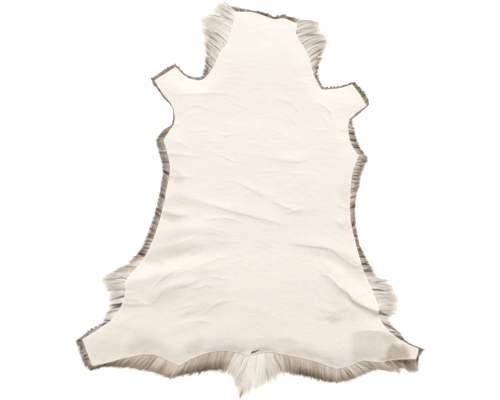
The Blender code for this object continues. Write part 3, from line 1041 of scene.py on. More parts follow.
def coat_from(at):
    """The coat at places along the rim: its reach in x and y, three tones and raggedness."""
    reach = round_the_rim(COAT, at)
    return np.column_stack([reach[:, :2], round_the_rim(TONES, at), reach[:, 2]])


def rim_from(at):
    """Points of the rim at places along it."""
    ends = np.append(rim_at, rim_length)
    whole = np.vstack([rim, rim[:1]])
    return np.column_stack([np.interp(at % rim_length, ends, column) for column in whole.T])


def rim_inward(at):
    """The direction straight in from the rim, level."""
    return -left_of(rim_from(at + STEADY)[:, :2] - rim_from(at - STEADY)[:, :2])


def tone_at(tones, share):
    """The tone at a share of a hair's length, from columns of root, middle and tip tones."""
    half, rest = np.clip(2 * share, 0, 1), np.clip(2 * share - 1, 0, 1)
    root, middle, tip = tones[:, 0], tones[:, 1], tones[:, 2]
    return root + half * (middle - root) + rest * (tip - middle)


def under_wool():
    """The wool as one closed body: rings round the rim, filled in above and below."""
    rng = np.random.default_rng(12)
    count = int(rim_length / WOOL_STEP)
    at = np.arange(count) * rim_length / count
    edge, coat = rim_from(at), coat_from(at)
    uneven = WOOL_REACH + WOOL_RAGGED * rng.standard_normal(count).clip(-1.5, 1.5)
    reach = coat[:, :2] * uneven[:, None]
    root = edge[:, 2] - EDGE_THICK - WOOL_ROOT
    rings, tones = [], []
    for out, down in WOOL_SIDE:
        height = root - down * (root - WOOL_LOW)
        rings.append(np.column_stack([edge[:, :2] + out * reach, height]))
        tones.append(tone_at(coat[:, 2:5], out))
    rings.append(np.column_stack([edge[:, :2], np.full(count, WOOL_FOOT)]))
    tones.append(coat[:, 3])
    side = np.concatenate(rings)
    # Painted shade: the wool is darker so the gaps between the locks read as shadowed.
    side_tone = np.concatenate(tones) - WOOL_DARKER
    side_tone += WOOL_MOTTLE * rng.standard_normal(len(side))
    inner = points_inside(WOOL_GRID, WOOL_CLEAR)
    above = inner - (0, 0, SKIN_THICK + WOOL_TOP)
    lumps = smooth_noise(inner[:, :2], 30.0, 30.0, 5.0)
    below = np.column_stack([inner[:, :2], WOOL_BELLY + BELLY_LUMPS * lumps])
    turn, own = np.arange(count), np.arange(len(inner))
    last = len(side) - count
    faces = []
    for first in range(0, last, count):
        faces += band(count, first, first + count)
    top_index = np.concatenate([turn, len(side) + own])
    faces += top_index[filled(rings[0], inner)].tolist()
    under_index = np.concatenate([turn + last, len(side) + len(inner) + own])
    faces += under_index[filled(rings[-1], inner)[:, ::-1]].tolist()
    body_tone = BODY_TONE + BODY_MOTTLE * rng.standard_normal(2 * len(inner))
    return np.concatenate([side, above, below]), faces, np.concatenate([side_tone, body_tone])


WARM_CAST, COOL_CAST = (1.0, 0.95, 0.88, 1.0), (0.97, 0.985, 1.0, 1.0)


def hair_finish(name):
    """Hair coloured by its own map: across it runs the tone, and up it the warmth."""
    finish = Finish(name)
    where = finish.node("ShaderNodeUVMap", {"uv_map": BAKE_MAP})
    tone = finish.node("ShaderNodeSeparateXYZ", sockets={0: where}, output=0)
    warmth = finish.node("ShaderNodeSeparateXYZ", sockets={0: where}, output=1)
    colour = finish.ramp(
        tone,
        [
            (0.00, seen(26, 20, 14)),
            (0.20, seen(64, 51, 36)),
            (0.35, seen(98, 82, 63)),
            (0.50, seen(136, 118, 97)),
            (0.65, seen(171, 153, 132)),
            (0.78, seen(206, 192, 176)),
            (0.90, seen(240, 230, 217)),
            (1.00, seen(255, 251, 242)),
        ],
    )
    warm, cool = (2.0 * warmth - 1.0).limited(), (1.0 - 2.0 * warmth).limited()
    colour = finish.mixed(warm, colour, WARM_CAST, blend="MULTIPLY")
    colour = finish.mixed(cool, colour, COOL_CAST, blend="MULTIPLY")
    finish.surface(Base_Color=colour, Roughness=0.62, Specular_IOR_Level=0.3, Sheen_Weight=0.3)
    return finish.material


def colour_by_tone(made, tone, warmth):
    """Lays each point of a piece on the hair's colour map, with tones from 0 to 255."""
    low, high = MAP_MARGIN, 1 - MAP_MARGIN
    store_map(made, BAKE_MAP, np.clip(tone / 255, low, high), np.clip(warmth, low, high))


wool_points, wool_faces, wool_tone = under_wool()
wool = mesh_of("under_wool", wool_points, wool_faces)
rng = np.random.default_rng(77)
colour_by_tone(wool, wool_tone, 0.5 + 0.12 * rng.standard_normal(len(wool_points)))
wool.data.materials.append(hair_finish("under_wool_grey"))
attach(wool, "root")
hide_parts("hide")


# ---- The coat: neck hair -------------------------------------------------------------------
# The long pale mane on both sides of the neck, and the short hair across the neck's end. It
# lies outwards in locks, parted here and there, where painted shade and the dark of the pile show.


BEND_LATE = 1.7  # a strand bends more towards its tip
STAYS_THICK = 0.4  # and doesn't thin at once


def strand_tree():
    """Stands one tapered strand on each root, along the root's own reach and bend."""
    tree = bpy.data.node_groups.new("strand on each root", "GeometryNodeTree")

    def socket(name, way, kind):
        return tree.interface.new_socket(name=name, in_out=way, socket_type="NodeSocket" + kind)

    def node(kind, inputs=None, **settings):
        made = tree.nodes.new(kind)
        for key, value in settings.items():
            setattr(made, key, value)
        for key, value in (inputs or {}).items():
            if isinstance(value, bpy.types.NodeSocket):
                tree.links.new(value, made.inputs[key])
            else:
                made.inputs[key].default_value = value
        return made

    def vector(operation, first, second):
        made = node("ShaderNodeVectorMath", {0: first, 1: second}, operation=operation)
        return made.outputs[0]

    def scaled(first, scale):
        made = node("ShaderNodeVectorMath", {0: first, "Scale": scale}, operation="SCALE")
        return made.outputs[0]

    def number(operation, first, second):
        return node("ShaderNodeMath", {0: first, 1: second}, operation=operation).outputs[0]

    def kept(name, kind):
        return node("GeometryNodeInputNamedAttribute", {"Name": name}, data_type=kind).outputs[0]

    socket("Roots", "INPUT", "Geometry")
    for name in ("Half width", "Flatness", "Tip width"):
        socket(name, "INPUT", "Float")
    socket("Joints", "INPUT", "Int")
    socket("Finish", "INPUT", "Material")
    socket("Strands", "OUTPUT", "Geometry")
    given = tree.nodes.new("NodeGroupInput").outputs
    strand = node(
        "GeometryNodeMeshCone",
        {"Vertices": 3, "Side Segments": given["Joints"], "Fill Segments": 1,
         "Radius Top": given["Tip width"], "Radius Bottom": 1.0, "Depth": 1.0},
        fill_type="NGON",
    )
    own_place = node("GeometryNodeInputPosition").outputs[0]
    marked = node(
        "GeometryNodeStoreNamedAttribute",
        {"Geometry": strand.outputs[0], "Name": "on_strand", "Value": own_place},
        data_type="FLOAT_VECTOR", domain="POINT",
    )
    stood = node(
        "GeometryNodeInstanceOnPoints", {"Points": given["Roots"], "Instance": marked.outputs[0]}
    )
    joined = node("GeometryNodeRealizeInstances", {"Geometry": stood.outputs[0]})
    on_strand = kept("on_strand", "FLOAT_VECTOR")
    apart = node("ShaderNodeSeparateXYZ", {0: on_strand}).outputs
    reach = kept("reach", "FLOAT_VECTOR")
    side = vector("NORMALIZE", vector("CROSS_PRODUCT", reach, (0.0, 0.0, 1.0)), (0.0, 0.0, 0.0))
    root = vector("SUBTRACT", node("GeometryNodeInputPosition").outputs[0], on_strand)
    along = apart["Z"]
    run = scaled(reach, along)
    bend = scaled(kept("bend", "FLOAT_VECTOR"), number("POWER", along, BEND_LATE))
    thick = number("ADD", number("MULTIPLY", along, STAYS_THICK), 1.0)
    thick = number("MULTIPLY", given["Half width"], thick)
    thick = number("MULTIPLY", thick, kept("stoutness", "FLOAT"))
    across = scaled(side, number("MULTIPLY", apart["X"], thick))
    high = number("MULTIPLY", number("MULTIPLY", apart["Y"], thick), given["Flatness"])
    up = scaled((0.0, 0.0, 1.0), high)
    place = vector("ADD", vector("ADD", root, run), vector("ADD", bend, vector("ADD", across, up)))
    bent = node("GeometryNodeSetPosition", {"Geometry": joined.outputs[0], "Position": place})
    dressed = node(
        "GeometryNodeSetMaterial", {"Geometry": bent.outputs[0], "Material": given["Finish"]}
    )
    out = tree.nodes.new("NodeGroupOutput")
    tree.links.new(dressed.outputs[0], out.inputs["Strands"])
    return tree


STRANDS = strand_tree()
DARKEST_STREAK = 125.0  # streaks that cross darken the hair by no more than this

# How the hair stands on the cut edge.
UNEVEN = 0.35  # tufts and locks are off even places by up to this share of their width
ROOT_IN, ROOT_ROOM = 0.6, 3.6  # its roots start this far in, over this much more
ROOT_UNDER = 0.15  # just under the leather
ROOT_LOWEST = 2.4  # the lowest over the floor
TIP_LOW, TIP_OVER = 0.8, 4.6  # the lowest tips' height, and how much higher the topmost lie
LOCK_DEPTH, GAP_DEPTH = 0.08, 0.12  # how far down the pile a lock lies, and a tuft's sides
OVER_TUFT, OVER_LOCK = 0.08, 0.20  # how far the hairs mix with the next tuft's, and lock's
TUFT_SHORTER, LOCK_SHORTER = 0.3, 0.5  # how raggedness shortens whole tufts, and locks
HAIR_SHORTER, RAGGED_SHORTER = 0.10, 1.3  # how it shortens each hair
LOOSE_SHARE, LOOSE_TURN = 0.06, 1.7  # the few hairs that stray and lie past the others
TUFT_TONE, HAIR_TONE = 0.45, 9.0  # a tuft's share of the locks' tone step; each hair's own step
TUFT_WARM, HAIR_WARM = 0.09, 0.07
DEPTH_SHADE_SHARES = (1.0, 0.7, 0.2)  # how much of the deep hair's painted shade its root, middle, tip take
THINNEST, STOUTEST = 0.6, 1.2  # a hair's width against its piece's half width


def read_numbers(mesh, name, size):
    """What a mesh keeps under a name, in rows of this size."""
    found = np.zeros(len(mesh.vertices) * size, np.float32)
    mesh.attributes[name].data.foreach_get("vector" if size == 3 else "value", found)
    return found.reshape(-1, size)


def streaked(places, streaks):
    """How much darker the hair is at places, from the streaks that lie there."""
    darker = np.zeros(len(places))
    for x, y, end_x, end_y, half_width, dark in streaks:
        run = np.array([end_x - x, end_y - y], float)
        off = places - (x, y)
        share = np.clip(off @ run / (run @ run), 0, 1)
        gap = np.linalg.norm(off - share[:, None] * run, axis=1)
        darker += dark * np.exp(-((gap / half_width) ** 2))
    return darker


def grown(
    name, roots, finish, streaks=(), half_width=0.62, flatness=0.22, joints=3, tip=0.0,
):
    """Grows a piece of hair: one strand on each root, made a plain mesh."""
    bed = mesh_of(name + "_roots", roots["place"], [])
    keep(bed, "reach", roots["reach"] * MM)
    keep(bed, "bend", roots["bend"] * MM)
    for key in ("tones", "stoutness", "warmth"):
        keep(bed, key, roots[key])
    growing = bed.modifiers.new("hair", "NODES")
    growing.node_group = STRANDS
    values = {
        "Half width": half_width * MM, "Flatness": flatness, "Tip width": tip, "Joints": joints,
        "Finish": finish,
    }
    for item in STRANDS.interface.items_tree:
        if item.name in values:
            growing[item.identifier] = values[item.name]
    bpy.context.view_layer.update()
    depsgraph = bpy.context.evaluated_depsgraph_get()
    mesh = bpy.data.meshes.new_from_object(bed.evaluated_get(depsgraph))
    bpy.data.objects.remove(bed)
    mesh.name = name
    made = in_scene(name, mesh)
    warmth = read_numbers(mesh, "warmth", 1)[:, 0]
    tone = tone_at(read_numbers(mesh, "tones", 3), read_numbers(mesh, "on_strand", 3)[:, 2])
    spots = read_numbers(mesh, "position", 3)[:, :2] / MM
    # The streaks darken the hair: painted shade at the partings, over the darker under-hair and
    # dark ends.
    tone -= np.minimum(streaked(spots, streaks), DARKEST_STREAK)
    for kept in ("on_strand", "tones", "warmth", "reach", "bend", "stoutness"):
        mesh.attributes.remove(mesh.attributes[kept])
    while mesh.uv_layers:
        mesh.uv_layers.remove(mesh.uv_layers[0])
    colour_by_tone(made, tone, warmth)
    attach(made, "root")
    return made


def spaced(length, gap, rng):
    """Places along a length, this far apart and a little uneven."""
    places = np.arange(0.0, length, gap)
    return places + gap * rng.uniform(-UNEVEN, UNEVEN, len(places))


def nearest_of(places, at):
    """Which of these rising places lies nearest each value."""
    after = np.clip(np.searchsorted(places, at), 1, len(places) - 1)
    return np.where(at - places[after - 1] < places[after] - at, after - 1, after)


def roots_along(
    stretches, seed, per_mm,
    tuft=9.0, lock=3.4,  # how wide
    spread=0.035, stray=0.045,  # how far their directions turn, and each hair's, in radians
    gather=0.2, point=0.0,  # how far tips draw in to the middle of the lock, and of the tuft
    curl=0.05, rise=0.0,  # how far a hair bows to its side, and towards the tail
    longest=1.20, wisp=0.15,  # its length against the table's reach, and a loose hair's more
    deep=0.5,  # how far down the pile the hair goes
    tone_step=13.0, gap_shade=20.0, depth_shade=20.0,  # how locks' tones differ, and the gaps', the depths'
):
    """Roots along stretches of the cut edge, from just under the leather down to the floor.

    Tufts share a direction, a length and a tone, and the narrow locks in them another. Where
    two tufts meet the hair lies lower, with painted shade, and the deeper a hair lies the more
    painted shade it takes.
    """
    rng = np.random.default_rng(seed)
    even, bell = rng.random, rng.standard_normal
    found = []
    for first, last in stretches:
        start = place_on_rim(*first[:2])
        length = (place_on_rim(*last[:2]) - start) % rim_length
        tufts, locks = spaced(length, tuft, rng), spaced(length, lock, rng)
        tuft_turn = spread * bell(len(tufts))
        tuft_length = even(len(tufts))
        tuft_tone = TUFT_TONE * tone_step * bell(len(tufts)).clip(-2, 2)
        tuft_warm = TUFT_WARM * bell(len(tufts))
        lock_turn = 0.5 * spread * bell(len(locks))
        lock_length = even(len(locks))
        lock_tone = tone_step * bell(len(locks)).clip(-2, 2)
        lock_level = even(len(locks))
        lock_curl = curl * bell(len(locks))
        count = int(length * per_mm)
        at = length * even(count)
        in_tuft = nearest_of(tufts, at + OVER_TUFT * tuft * bell(count))
        in_lock = nearest_of(locks, at + OVER_LOCK * lock * bell(count))
        off_tuft = np.clip(np.abs(at - tufts[in_tuft]) / (0.5 * tuft), 0, 1) ** 3
        coat, edge, inward = coat_from(start + at), rim_from(start + at), rim_inward(start + at)
        depth = LOCK_DEPTH * lock_level[in_lock] + GAP_DEPTH * off_tuft
        depth += deep * even(count) ** 2.4  # most of it near the top
        inset = ROOT_IN + ROOT_ROOM * even(count)[:, None]
        top = edge[:, 2] - EDGE_THICK - ROOT_UNDER
        height = top - depth * (top - ROOT_LOWEST)
        ragged = coat[:, 5]
        shorter = TUFT_SHORTER * tuft_length[in_tuft] + LOCK_SHORTER * lock_length[in_lock]
        shorter = ragged * shorter + (HAIR_SHORTER + RAGGED_SHORTER * ragged) * even(count) ** 0.6
        turn = tuft_turn[in_tuft] + lock_turn[in_lock] + stray * bell(count)
        loose = even(count) < LOOSE_SHARE
        turn[loose] *= LOOSE_TURN
        shorter[loose] = -wisp * even(loose.sum())
        run = rotated(coat[:, :2] * (longest - shorter)[:, None], turn)
        run += gather * (rim_from(start + locks[in_lock])[:, :2] - edge[:, :2])
        run += point * (rim_from(start + tufts[in_tuft])[:, :2] - edge[:, :2])
        run -= inset * inward
        size = np.linalg.norm(run, axis=1)
        bowed = (lock_curl[in_lock] + 0.3 * curl * bell(count)) * size
        bow = bowed[:, None] * left_of(run)
        bow[:, 1] -= rise * size
        # Painted shade: darker where two tufts meet, and the deeper a hair lies in the pile.
        strand_tone = lock_tone[in_lock] + tuft_tone[in_tuft] - gap_shade * off_tuft
        tones = coat[:, 2:5] + (strand_tone + HAIR_TONE * bell(count))[:, None]
        tones -= depth_shade * depth[:, None] * DEPTH_SHADE_SHARES
        tip = TIP_LOW + TIP_OVER * (1 - depth)
        found.append(
            {
                "place": np.column_stack([edge[:, :2] + inset * inward, height]),
                "reach": np.column_stack([run - bow, np.zeros(count)]),
                "bend": np.column_stack([bow, tip - height]),
                "tones": tones,
                "stoutness": rng.uniform(THINNEST, STOUTEST, count),
                "warmth": 0.5 + tuft_warm[in_tuft] + HAIR_WARM * bell(count),
            }
        )
    return {key: np.concatenate([part[key] for part in found]) for key in found[0]}


# Streaks where the locks part or the ends are dark: x, y at one end, x, y at the other, half
# width, and how much darker (paler below 0). At the partings the dark is painted shade over
# the darker under-hair; at the ends it is the hair's own.
NECK_STREAKS = [
    (-55, 570, -74, 576, 1.6, 98), (-74, 576, -103, 584, 1.2, 58), (-103, 584, -122, 591, 1.4, 91),
    (-59, 603, -90, 620, 1.6, 42), (-55, 586, -97, 611, 1.4, 39), (-131, 576, -117, 571, 1.6, 52),
    (-59, 551, -78, 560, 1.4, 42), (-73, 500, -93, 519, 1.6, 110), (-93, 519, -128, 540, 1.4, 91),
    (-128, 540, -150, 549, 1.9, 42), (-109, 524, -141, 540, 1.3, 84),
    (-106, 505, -135, 522, 1.4, 91), (-119, 516, -138, 530, 1.4, 58), (-81, 495, -93, 506, 1.4, 46),
    (-93, 476, -125, 498, 1.6, 62), (-125, 498, -135, 511, 1.6, 52),
    (-101, 470, -128, 492, 1.9, 52), (-138, 506, -138, 440, 2.6, 62),
    (-138, 440, -139, 408, 2.6, 81), (-139, 408, -150, 391, 2.6, 91),
    (-119, 421, -138, 434, 1.9, 110), (-122, 453, -135, 461, 1.2, 32),
    (-65, 563, -90, 570, 1.2, -16), (-78, 538, -122, 557, 2.3, -14),
    (-119, 560, -100, 551, 1.2, 36), (-62, 611, -40, 605, 2.1, 58), (-40, 605, -24, 603, 2.1, 84),
    (-14, 601, 2, 601, 1.6, 32), (5, 602, 17, 598, 1.9, 130), (21, 596, 40, 591, 1.9, 104),
    (43, 589, 65, 582, 1.6, 91), (71, 582, 81, 579, 2.6, 124), (81, 578, 103, 582, 1.6, 65),
    (109, 577, 119, 576, 1.6, 91), (119, 576, 147, 565, 1.9, 72), (93, 586, 106, 588, 1.4, 52),
    (144, 530, 154, 540, 1.9, 117), (154, 540, 166, 543, 1.4, 58), (160, 494, 176, 506, 1.6, 104),
    (176, 506, 198, 516, 1.6, 104), (198, 516, 217, 517, 1.4, 52), (157, 500, 166, 513, 1.4, 55),
    (166, 543, 195, 548, 1.9, 58), (195, 548, 220, 549, 1.6, 52), (176, 524, 195, 525, 2.6, 75),
    (195, 525, 217, 524, 2.1, 58), (204, 497, 223, 503, 1.4, 78), (223, 503, 239, 505, 1.4, 91),
    (184, 457, 198, 464, 1.6, 98), (198, 464, 214, 473, 1.4, 78), (214, 475, 226, 478, 2.6, 88),
    (225, 478, 219, 453, 2.6, 81), (219, 453, 215, 427, 2.6, 81), (215, 427, 209, 408, 2.3, 81),
    (198, 483, 220, 492, 1.2, 42), (207, 421, 214, 427, 1.6, 72), (206, 408, 207, 392, 2.1, 65),
    (207, 392, 212, 373, 1.9, 75), (212, 373, 223, 359, 1.6, 81), (150, 554, 144, 544, 1.6, 52),
]
LONG_PALE = {"tuft": 12.0, "longest": 1.40, "point": 0.5, "wisp": 0.34}
MANE = hair_finish("mane_hair")
left_roots = roots_along(
    [(NECK_LEFT[0], HEAD[0])], seed=101, per_mm=10.5, rise=0.34, deep=0.35,
    tone_step=10.0, gap_shade=8.0, depth_shade=6.0, **LONG_PALE,
)
left_neck_hair = grown("left_neck_hair", left_roots, MANE, NECK_STREAKS, flatness=0.2, joints=4)
end_roots = roots_along(
    [(HEAD[0], HEAD[-1]), (HEAD[0], HEAD[1]), (HEAD[0], HEAD[1])],  # thicker at its left end
    seed=111, per_mm=8.0, tuft=8.0, lock=3.0, spread=0.22, curl=0.2, tone_step=18.0,
)
neck_end_hair = grown("neck_end_hair", end_roots, MANE, NECK_STREAKS)
right_roots = roots_along(
    [(HEAD[-1], FORELEG_RIGHT[0])], seed=121, per_mm=10.5, rise=0.5,
    tone_step=12.0, gap_shade=12.0, depth_shade=12.0, **LONG_PALE,
)
right_neck_hair = grown("right_neck_hair", right_roots, MANE, NECK_STREAKS, flatness=0.2, joints=4)


# ---- The coat: foreleg hair ----------------------------------------------------------------
# Short stiff hair round the stumps of both forelegs, hardly longer than the pile is deep.

FORELEG_STREAKS = [
    (223, 358, 261, 356, 1.9, 42), (263, 356, 302, 366, 1.4, 91), (-245, 272, -243, 250, 1.6, 78),
    (-250, 237, -242, 244, 2.1, 110), (-280, 223, -255, 226, 2.6, 65),
]
LEG_HAIR = hair_finish("leg_hair")
foreleg_roots = roots_along(
    [(FLANK_LEFT[-1], NECK_LEFT[0]), (FORELEG_RIGHT[0], FLANK_RIGHT[0])], seed=202, per_mm=6.5,
    tuft=8.0, lock=3.2, spread=0.12, stray=0.08, curl=0.12, tone_step=15.0,
)
foreleg_hair = grown("foreleg_hair", foreleg_roots, LEG_HAIR, FORELEG_STREAKS)


# ---- The coat: flank hair ------------------------------------------------------------------
# Even brown-grey hair down both sides of the back, combed straight out by the cut, with
# darker bands, partly painted shade, where the skin is puckered and the pile opens.

FLANK_STREAKS = [
    (-297, 206, -296, 180, 2.6, 68), (-296, 180, -290, 155, 2.6, 75),
    (-290, 155, -283, 130, 2.6, 68), (-283, 130, -277, 104, 2.6, 68),
    (-293, 210, -267, 215, 1.9, 58), (-286, 154, -264, 157, 1.6, 46),
    (-283, 123, -256, 125, 2.3, 65), (-277, 95, -256, 85, 3.3, 130), (-280, 57, -267, 44, 1.4, 47),
    (-277, 70, -264, 57, 1.2, 44), (-274, 78, -261, 66, 1.2, 39), (-283, 40, -271, 33, 2.8, 75),
    (-286, 24, -269, 9, 3.0, 91), (-286, 3, -280, -2, 2.6, 52), (-293, -6, -280, -22, 1.6, 44),
    (-299, -25, -280, -36, 3.5, 81), (-302, -38, -286, -49, 3.0, 68),
    (-312, -63, -296, -76, 2.3, 55), (-316, -89, -302, -95, 2.6, 55),
    (-324, -111, -309, -117, 2.6, 65), (-347, -133, -324, -137, 1.9, 65),
    (-343, -147, -324, -149, 1.4, 52), (-350, -157, -328, -158, 2.1, 78),
    (-356, -166, -329, -171, 3.5, 150), (307, 239, 316, 237, 2.1, 110),
    (312, 215, 331, 212, 2.1, 124), (324, 229, 332, 229, 1.6, 98), (312, 195, 334, 191, 2.1, 124),
    (334, 191, 347, 182, 2.6, 81), (324, 169, 351, 169, 2.3, 136), (353, 158, 366, 146, 2.8, 72),
    (366, 146, 372, 131, 2.8, 81), (350, 122, 366, 127, 2.3, 78), (348, 109, 359, 110, 2.1, 117),
    (350, 98, 359, 103, 1.9, 52), (324, 81, 350, 78, 1.6, 98), (348, 87, 356, 88, 1.6, 91),
    (328, 70, 343, 70, 1.4, 55), (331, 59, 347, 54, 1.6, 62), (340, 54, 350, 76, 2.6, 46),
    (318, 40, 340, 43, 1.6, 58), (334, 36, 347, 47, 2.1, 58), (321, 21, 334, 25, 1.2, 34),
    (321, 11, 334, 17, 1.4, 47), (323, -15, 332, -10, 2.3, 124), (315, -22, 331, -18, 2.3, 110),
    (320, -47, 328, -38, 2.1, 65), (320, -79, 328, -66, 3.7, 114), (328, -89, 337, -95, 2.6, 65),
    (331, -108, 340, -114, 2.6, 68), (340, -127, 350, -136, 2.3, 55),
    (340, -152, 356, -152, 3.0, 72), (343, -176, 366, -176, 2.8, 55),
    (347, -199, 375, -198, 2.1, 136), (366, -209, 385, -212, 1.4, 58),
    (356, -222, 391, -220, 3.0, 107),
]
FLANK_HAIR = hair_finish("flank_hair")
FLANKS = [
    ("left_flank_hair", GROIN_LEFT[-1], FLANK_LEFT[-1], 303),
    ("right_flank_hair", FLANK_RIGHT[0], FLANK_RIGHT[-3], 313),
]
for name, first, last, seed in FLANKS:
    roots = roots_along([(first, last)], seed=seed, per_mm=9.0, tone_step=15.0, gap_shade=26.0)
    flank_hair = grown(name, roots, FLANK_HAIR, FLANK_STREAKS)


# ---- The coat: groin hair ------------------------------------------------------------------
# Long soft belly hair in front of both hind legs, nearly white at its tips, in loose tufts
# with dark gaps of painted shade between them where the skin is drawn in.

GROIN_STREAKS = [
    (-342, -182, -378, -178, 2.1, 75), (-350, -188, -372, -186, 1.4, 46),
    (-366, -193, -391, -191, 2.6, 81), (-369, -208, -397, -208, 1.4, 62),
    (-356, -199, -388, -198, 1.2, 34), (-397, -222, -438, -222, 1.2, 47),
    (-381, -246, -410, -242, 1.4, 81), (-410, -242, -435, -248, 1.9, 81),
    (-435, -248, -461, -248, 1.4, 36), (-388, -254, -419, -260, 1.4, 62),
    (-419, -260, -445, -265, 1.4, 60), (-407, -266, -438, -272, 1.2, 34),
    (-397, -272, -454, -282, 2.1, 34), (-395, -298, -410, -304, 2.3, 156),
    (-410, -304, -438, -311, 2.1, 81), (-404, -324, -416, -328, 4.0, 143),
    (-416, -328, -438, -328, 3.0, 104), (-410, -334, -429, -336, 2.8, 104),
    (-419, -344, -454, -354, 1.9, 68), (-441, -378, -461, -377, 1.9, 143),
    (-451, -381, -476, -396, 1.4, 143), (-419, -354, -454, -366, 1.6, -12),
    (362, -233, 391, -230, 1.4, 49), (397, -242, 419, -244, 2.8, 68),
    (407, -225, 423, -227, 1.6, 42), (378, -256, 413, -255, 1.4, 34),
    (381, -279, 400, -280, 2.1, 110), (400, -280, 423, -284, 1.9, 98),
    (423, -284, 445, -280, 1.6, 58), (404, -294, 438, -298, 1.2, 39),
    (413, -304, 435, -306, 1.2, 55), (426, -326, 448, -331, 1.6, 36),
    (400, -345, 411, -354, 3.0, 169), (411, -354, 432, -362, 2.3, 110),
    (429, -348, 448, -356, 1.6, 42), (414, -385, 432, -392, 1.9, 150),
    (432, -392, 451, -404, 1.6, 130), (451, -404, 473, -419, 1.4, 110),
    (435, -413, 461, -415, 1.4, 124), (461, -426, 486, -440, 2.1, 143),
]
BELLY_HAIR = hair_finish("belly_hair")
groin_roots = roots_along(
    [(GROIN_LEFT[0], GROIN_LEFT[-1]), (FLANK_RIGHT[-3], GROIN_RIGHT[-1])],
    seed=404, per_mm=10.5, tuft=13.0, rise=0.18, longest=1.46,
    tone_step=12.0, gap_shade=12.0, depth_shade=12.0, point=0.5, wisp=0.34,
)
groin_hair = grown(
    "groin_hair", groin_roots, BELLY_HAIR, GROIN_STREAKS + FLANK_STREAKS[-3:],
    flatness=0.2, joints=4,
)


# ---- The coat: hind leg hair ---------------------------------------------------------------
# Dark short hair round the cut ends of the hind legs, longer and wavy below the right one,
# where its ends lighten to a yellowish cream.

LEG_STREAKS = [
    (473, -442, 498, -456, 2.1, 104), (498, -456, 530, -468, 2.1, 110),
    (530, -468, 546, -473, 2.3, 91), (525, -503, 533, -494, 2.3, 98),
    (536, -491, 543, -475, 2.6, 39), (-546, -442, -533, -441, 2.8, 98),
    (-536, -456, -533, -468, 2.6, 58), (-527, -470, -536, -478, 2.1, -25),
    (-530, -494, -517, -483, 3.3, 65), (-527, -503, -508, -497, 2.8, 68),
    (-521, -516, -502, -525, 3.0, 52), (-540, -432, -511, -405, 2.3, 52),
    (-511, -405, -483, -397, 1.9, 58), (-483, -397, -442, -377, 1.6, 72),
    (-505, -533, -464, -518, 3.0, 72), (416, -527, 435, -508, 1.9, 91),
    (435, -508, 454, -504, 1.9, 78), (423, -525, 448, -511, 1.6, 65),
    (442, -521, 467, -511, 1.6, 68), (429, -538, 445, -532, 1.6, 91),
    (410, -505, 442, -506, 1.4, 58), (454, -506, 489, -507, 2.6, 136),
    (489, -507, 519, -503, 2.6, 136), (476, -523, 511, -517, 2.1, 65),
    (486, -532, 517, -529, 1.9, 47), (498, -544, 521, -548, 1.6, 78),
    (470, -535, 505, -541, 1.9, -25),
]
hind_roots = roots_along(
    [(GROIN_RIGHT[-1], HEM_RIGHT[0]), (HEM_LEFT[-2], GROIN_LEFT[0])], seed=505, per_mm=9.0,
    spread=0.09, stray=0.08, curl=0.14, rise=0.2, tone_step=17.0, gap_shade=24.0,
)
hind_leg_hair = grown("hind_leg_hair", hind_roots, LEG_HAIR, LEG_STREAKS, joints=4)


# ---- The coat: hem hair --------------------------------------------------------------------
# The thick hair of the rump below the cut edge: pale where it leaves the skin, brown in a
# dark rim at its ends, falling away from the tail on both sides.

HEM_STREAKS = [
    (-464, -521, -445, -517, 3.0, 78), (-445, -517, -397, -523, 3.0, 68),
    (-445, -506, -461, -518, 2.3, 72), (-416, -502, -438, -517, 2.1, 78),
    (-400, -501, -419, -519, 2.1, 68), (-381, -503, -404, -519, 1.6, 52),
    (-347, -497, -375, -522, 1.4, 49), (-331, -500, -356, -525, 1.4, 49),
    (-318, -503, -340, -530, 1.6, 62), (-310, -510, -331, -530, 1.9, 68),
    (-293, -506, -321, -525, 1.4, -30), (-283, -511, -309, -525, 1.6, -24),
    (-277, -525, -293, -539, 2.1, 75), (-267, -522, -280, -538, 1.6, 42),
    (-271, -541, -258, -554, 2.6, 72), (-258, -554, -229, -552, 2.6, 81),
    (-229, -552, -191, -539, 2.8, 94), (-191, -539, -160, -532, 3.3, 101),
    (-160, -532, -90, -527, 4.0, 110), (-90, -522, -68, -514, 3.3, 62),
    (-93, -479, -97, -522, 1.6, 58), (-141, -491, -154, -519, 1.2, 23),
    (-201, -516, -220, -541, 1.2, 21), (138, -533, 157, -546, 3.5, 101),
    (157, -546, 198, -552, 4.0, 114), (198, -552, 226, -560, 3.0, 84),
    (226, -560, 255, -570, 2.8, 75), (164, -506, 169, -521, 1.9, 65),
    (122, -494, 128, -535, 1.9, 52), (103, -497, 116, -522, 1.4, 29),
    (214, -522, 220, -554, 1.2, 21), (296, -538, 324, -557, 2.1, 88),
    (309, -538, 328, -549, 1.9, 78), (286, -551, 305, -564, 2.1, 58),
    (334, -522, 369, -539, 1.4, 55), (340, -511, 375, -525, 1.9, 62),
    (350, -507, 378, -519, 1.4, 46), (366, -532, 385, -515, 1.4, 49),
    (385, -515, 400, -510, 1.4, 42), (400, -529, 419, -513, 1.4, 47),
    (347, -525, 321, -522, 1.4, -22),
]
hem_roots = roots_along(
    [(HEM_RIGHT[0], TAIL[0]), (TAIL[-1], HEM_LEFT[-2])], seed=606, per_mm=12.5, tuft=6.0,
    lock=1.7, spread=0.02, stray=0.03, gather=0.05, longest=1.12, deep=0.35,
    tone_step=9.0, gap_shade=4.0, depth_shade=10.0,
)
hem_hair = grown(
    "hem_hair", hem_roots, FLANK_HAIR, HEM_STREAKS, half_width=0.55, joints=2, tip=0.45
)


# ---- The coat: tail ------------------------------------------------------------------------
# A short flag of cream hair at the root of the tail, in long tufts that end in a point, with
# a brown-grey tuft at the very tip.

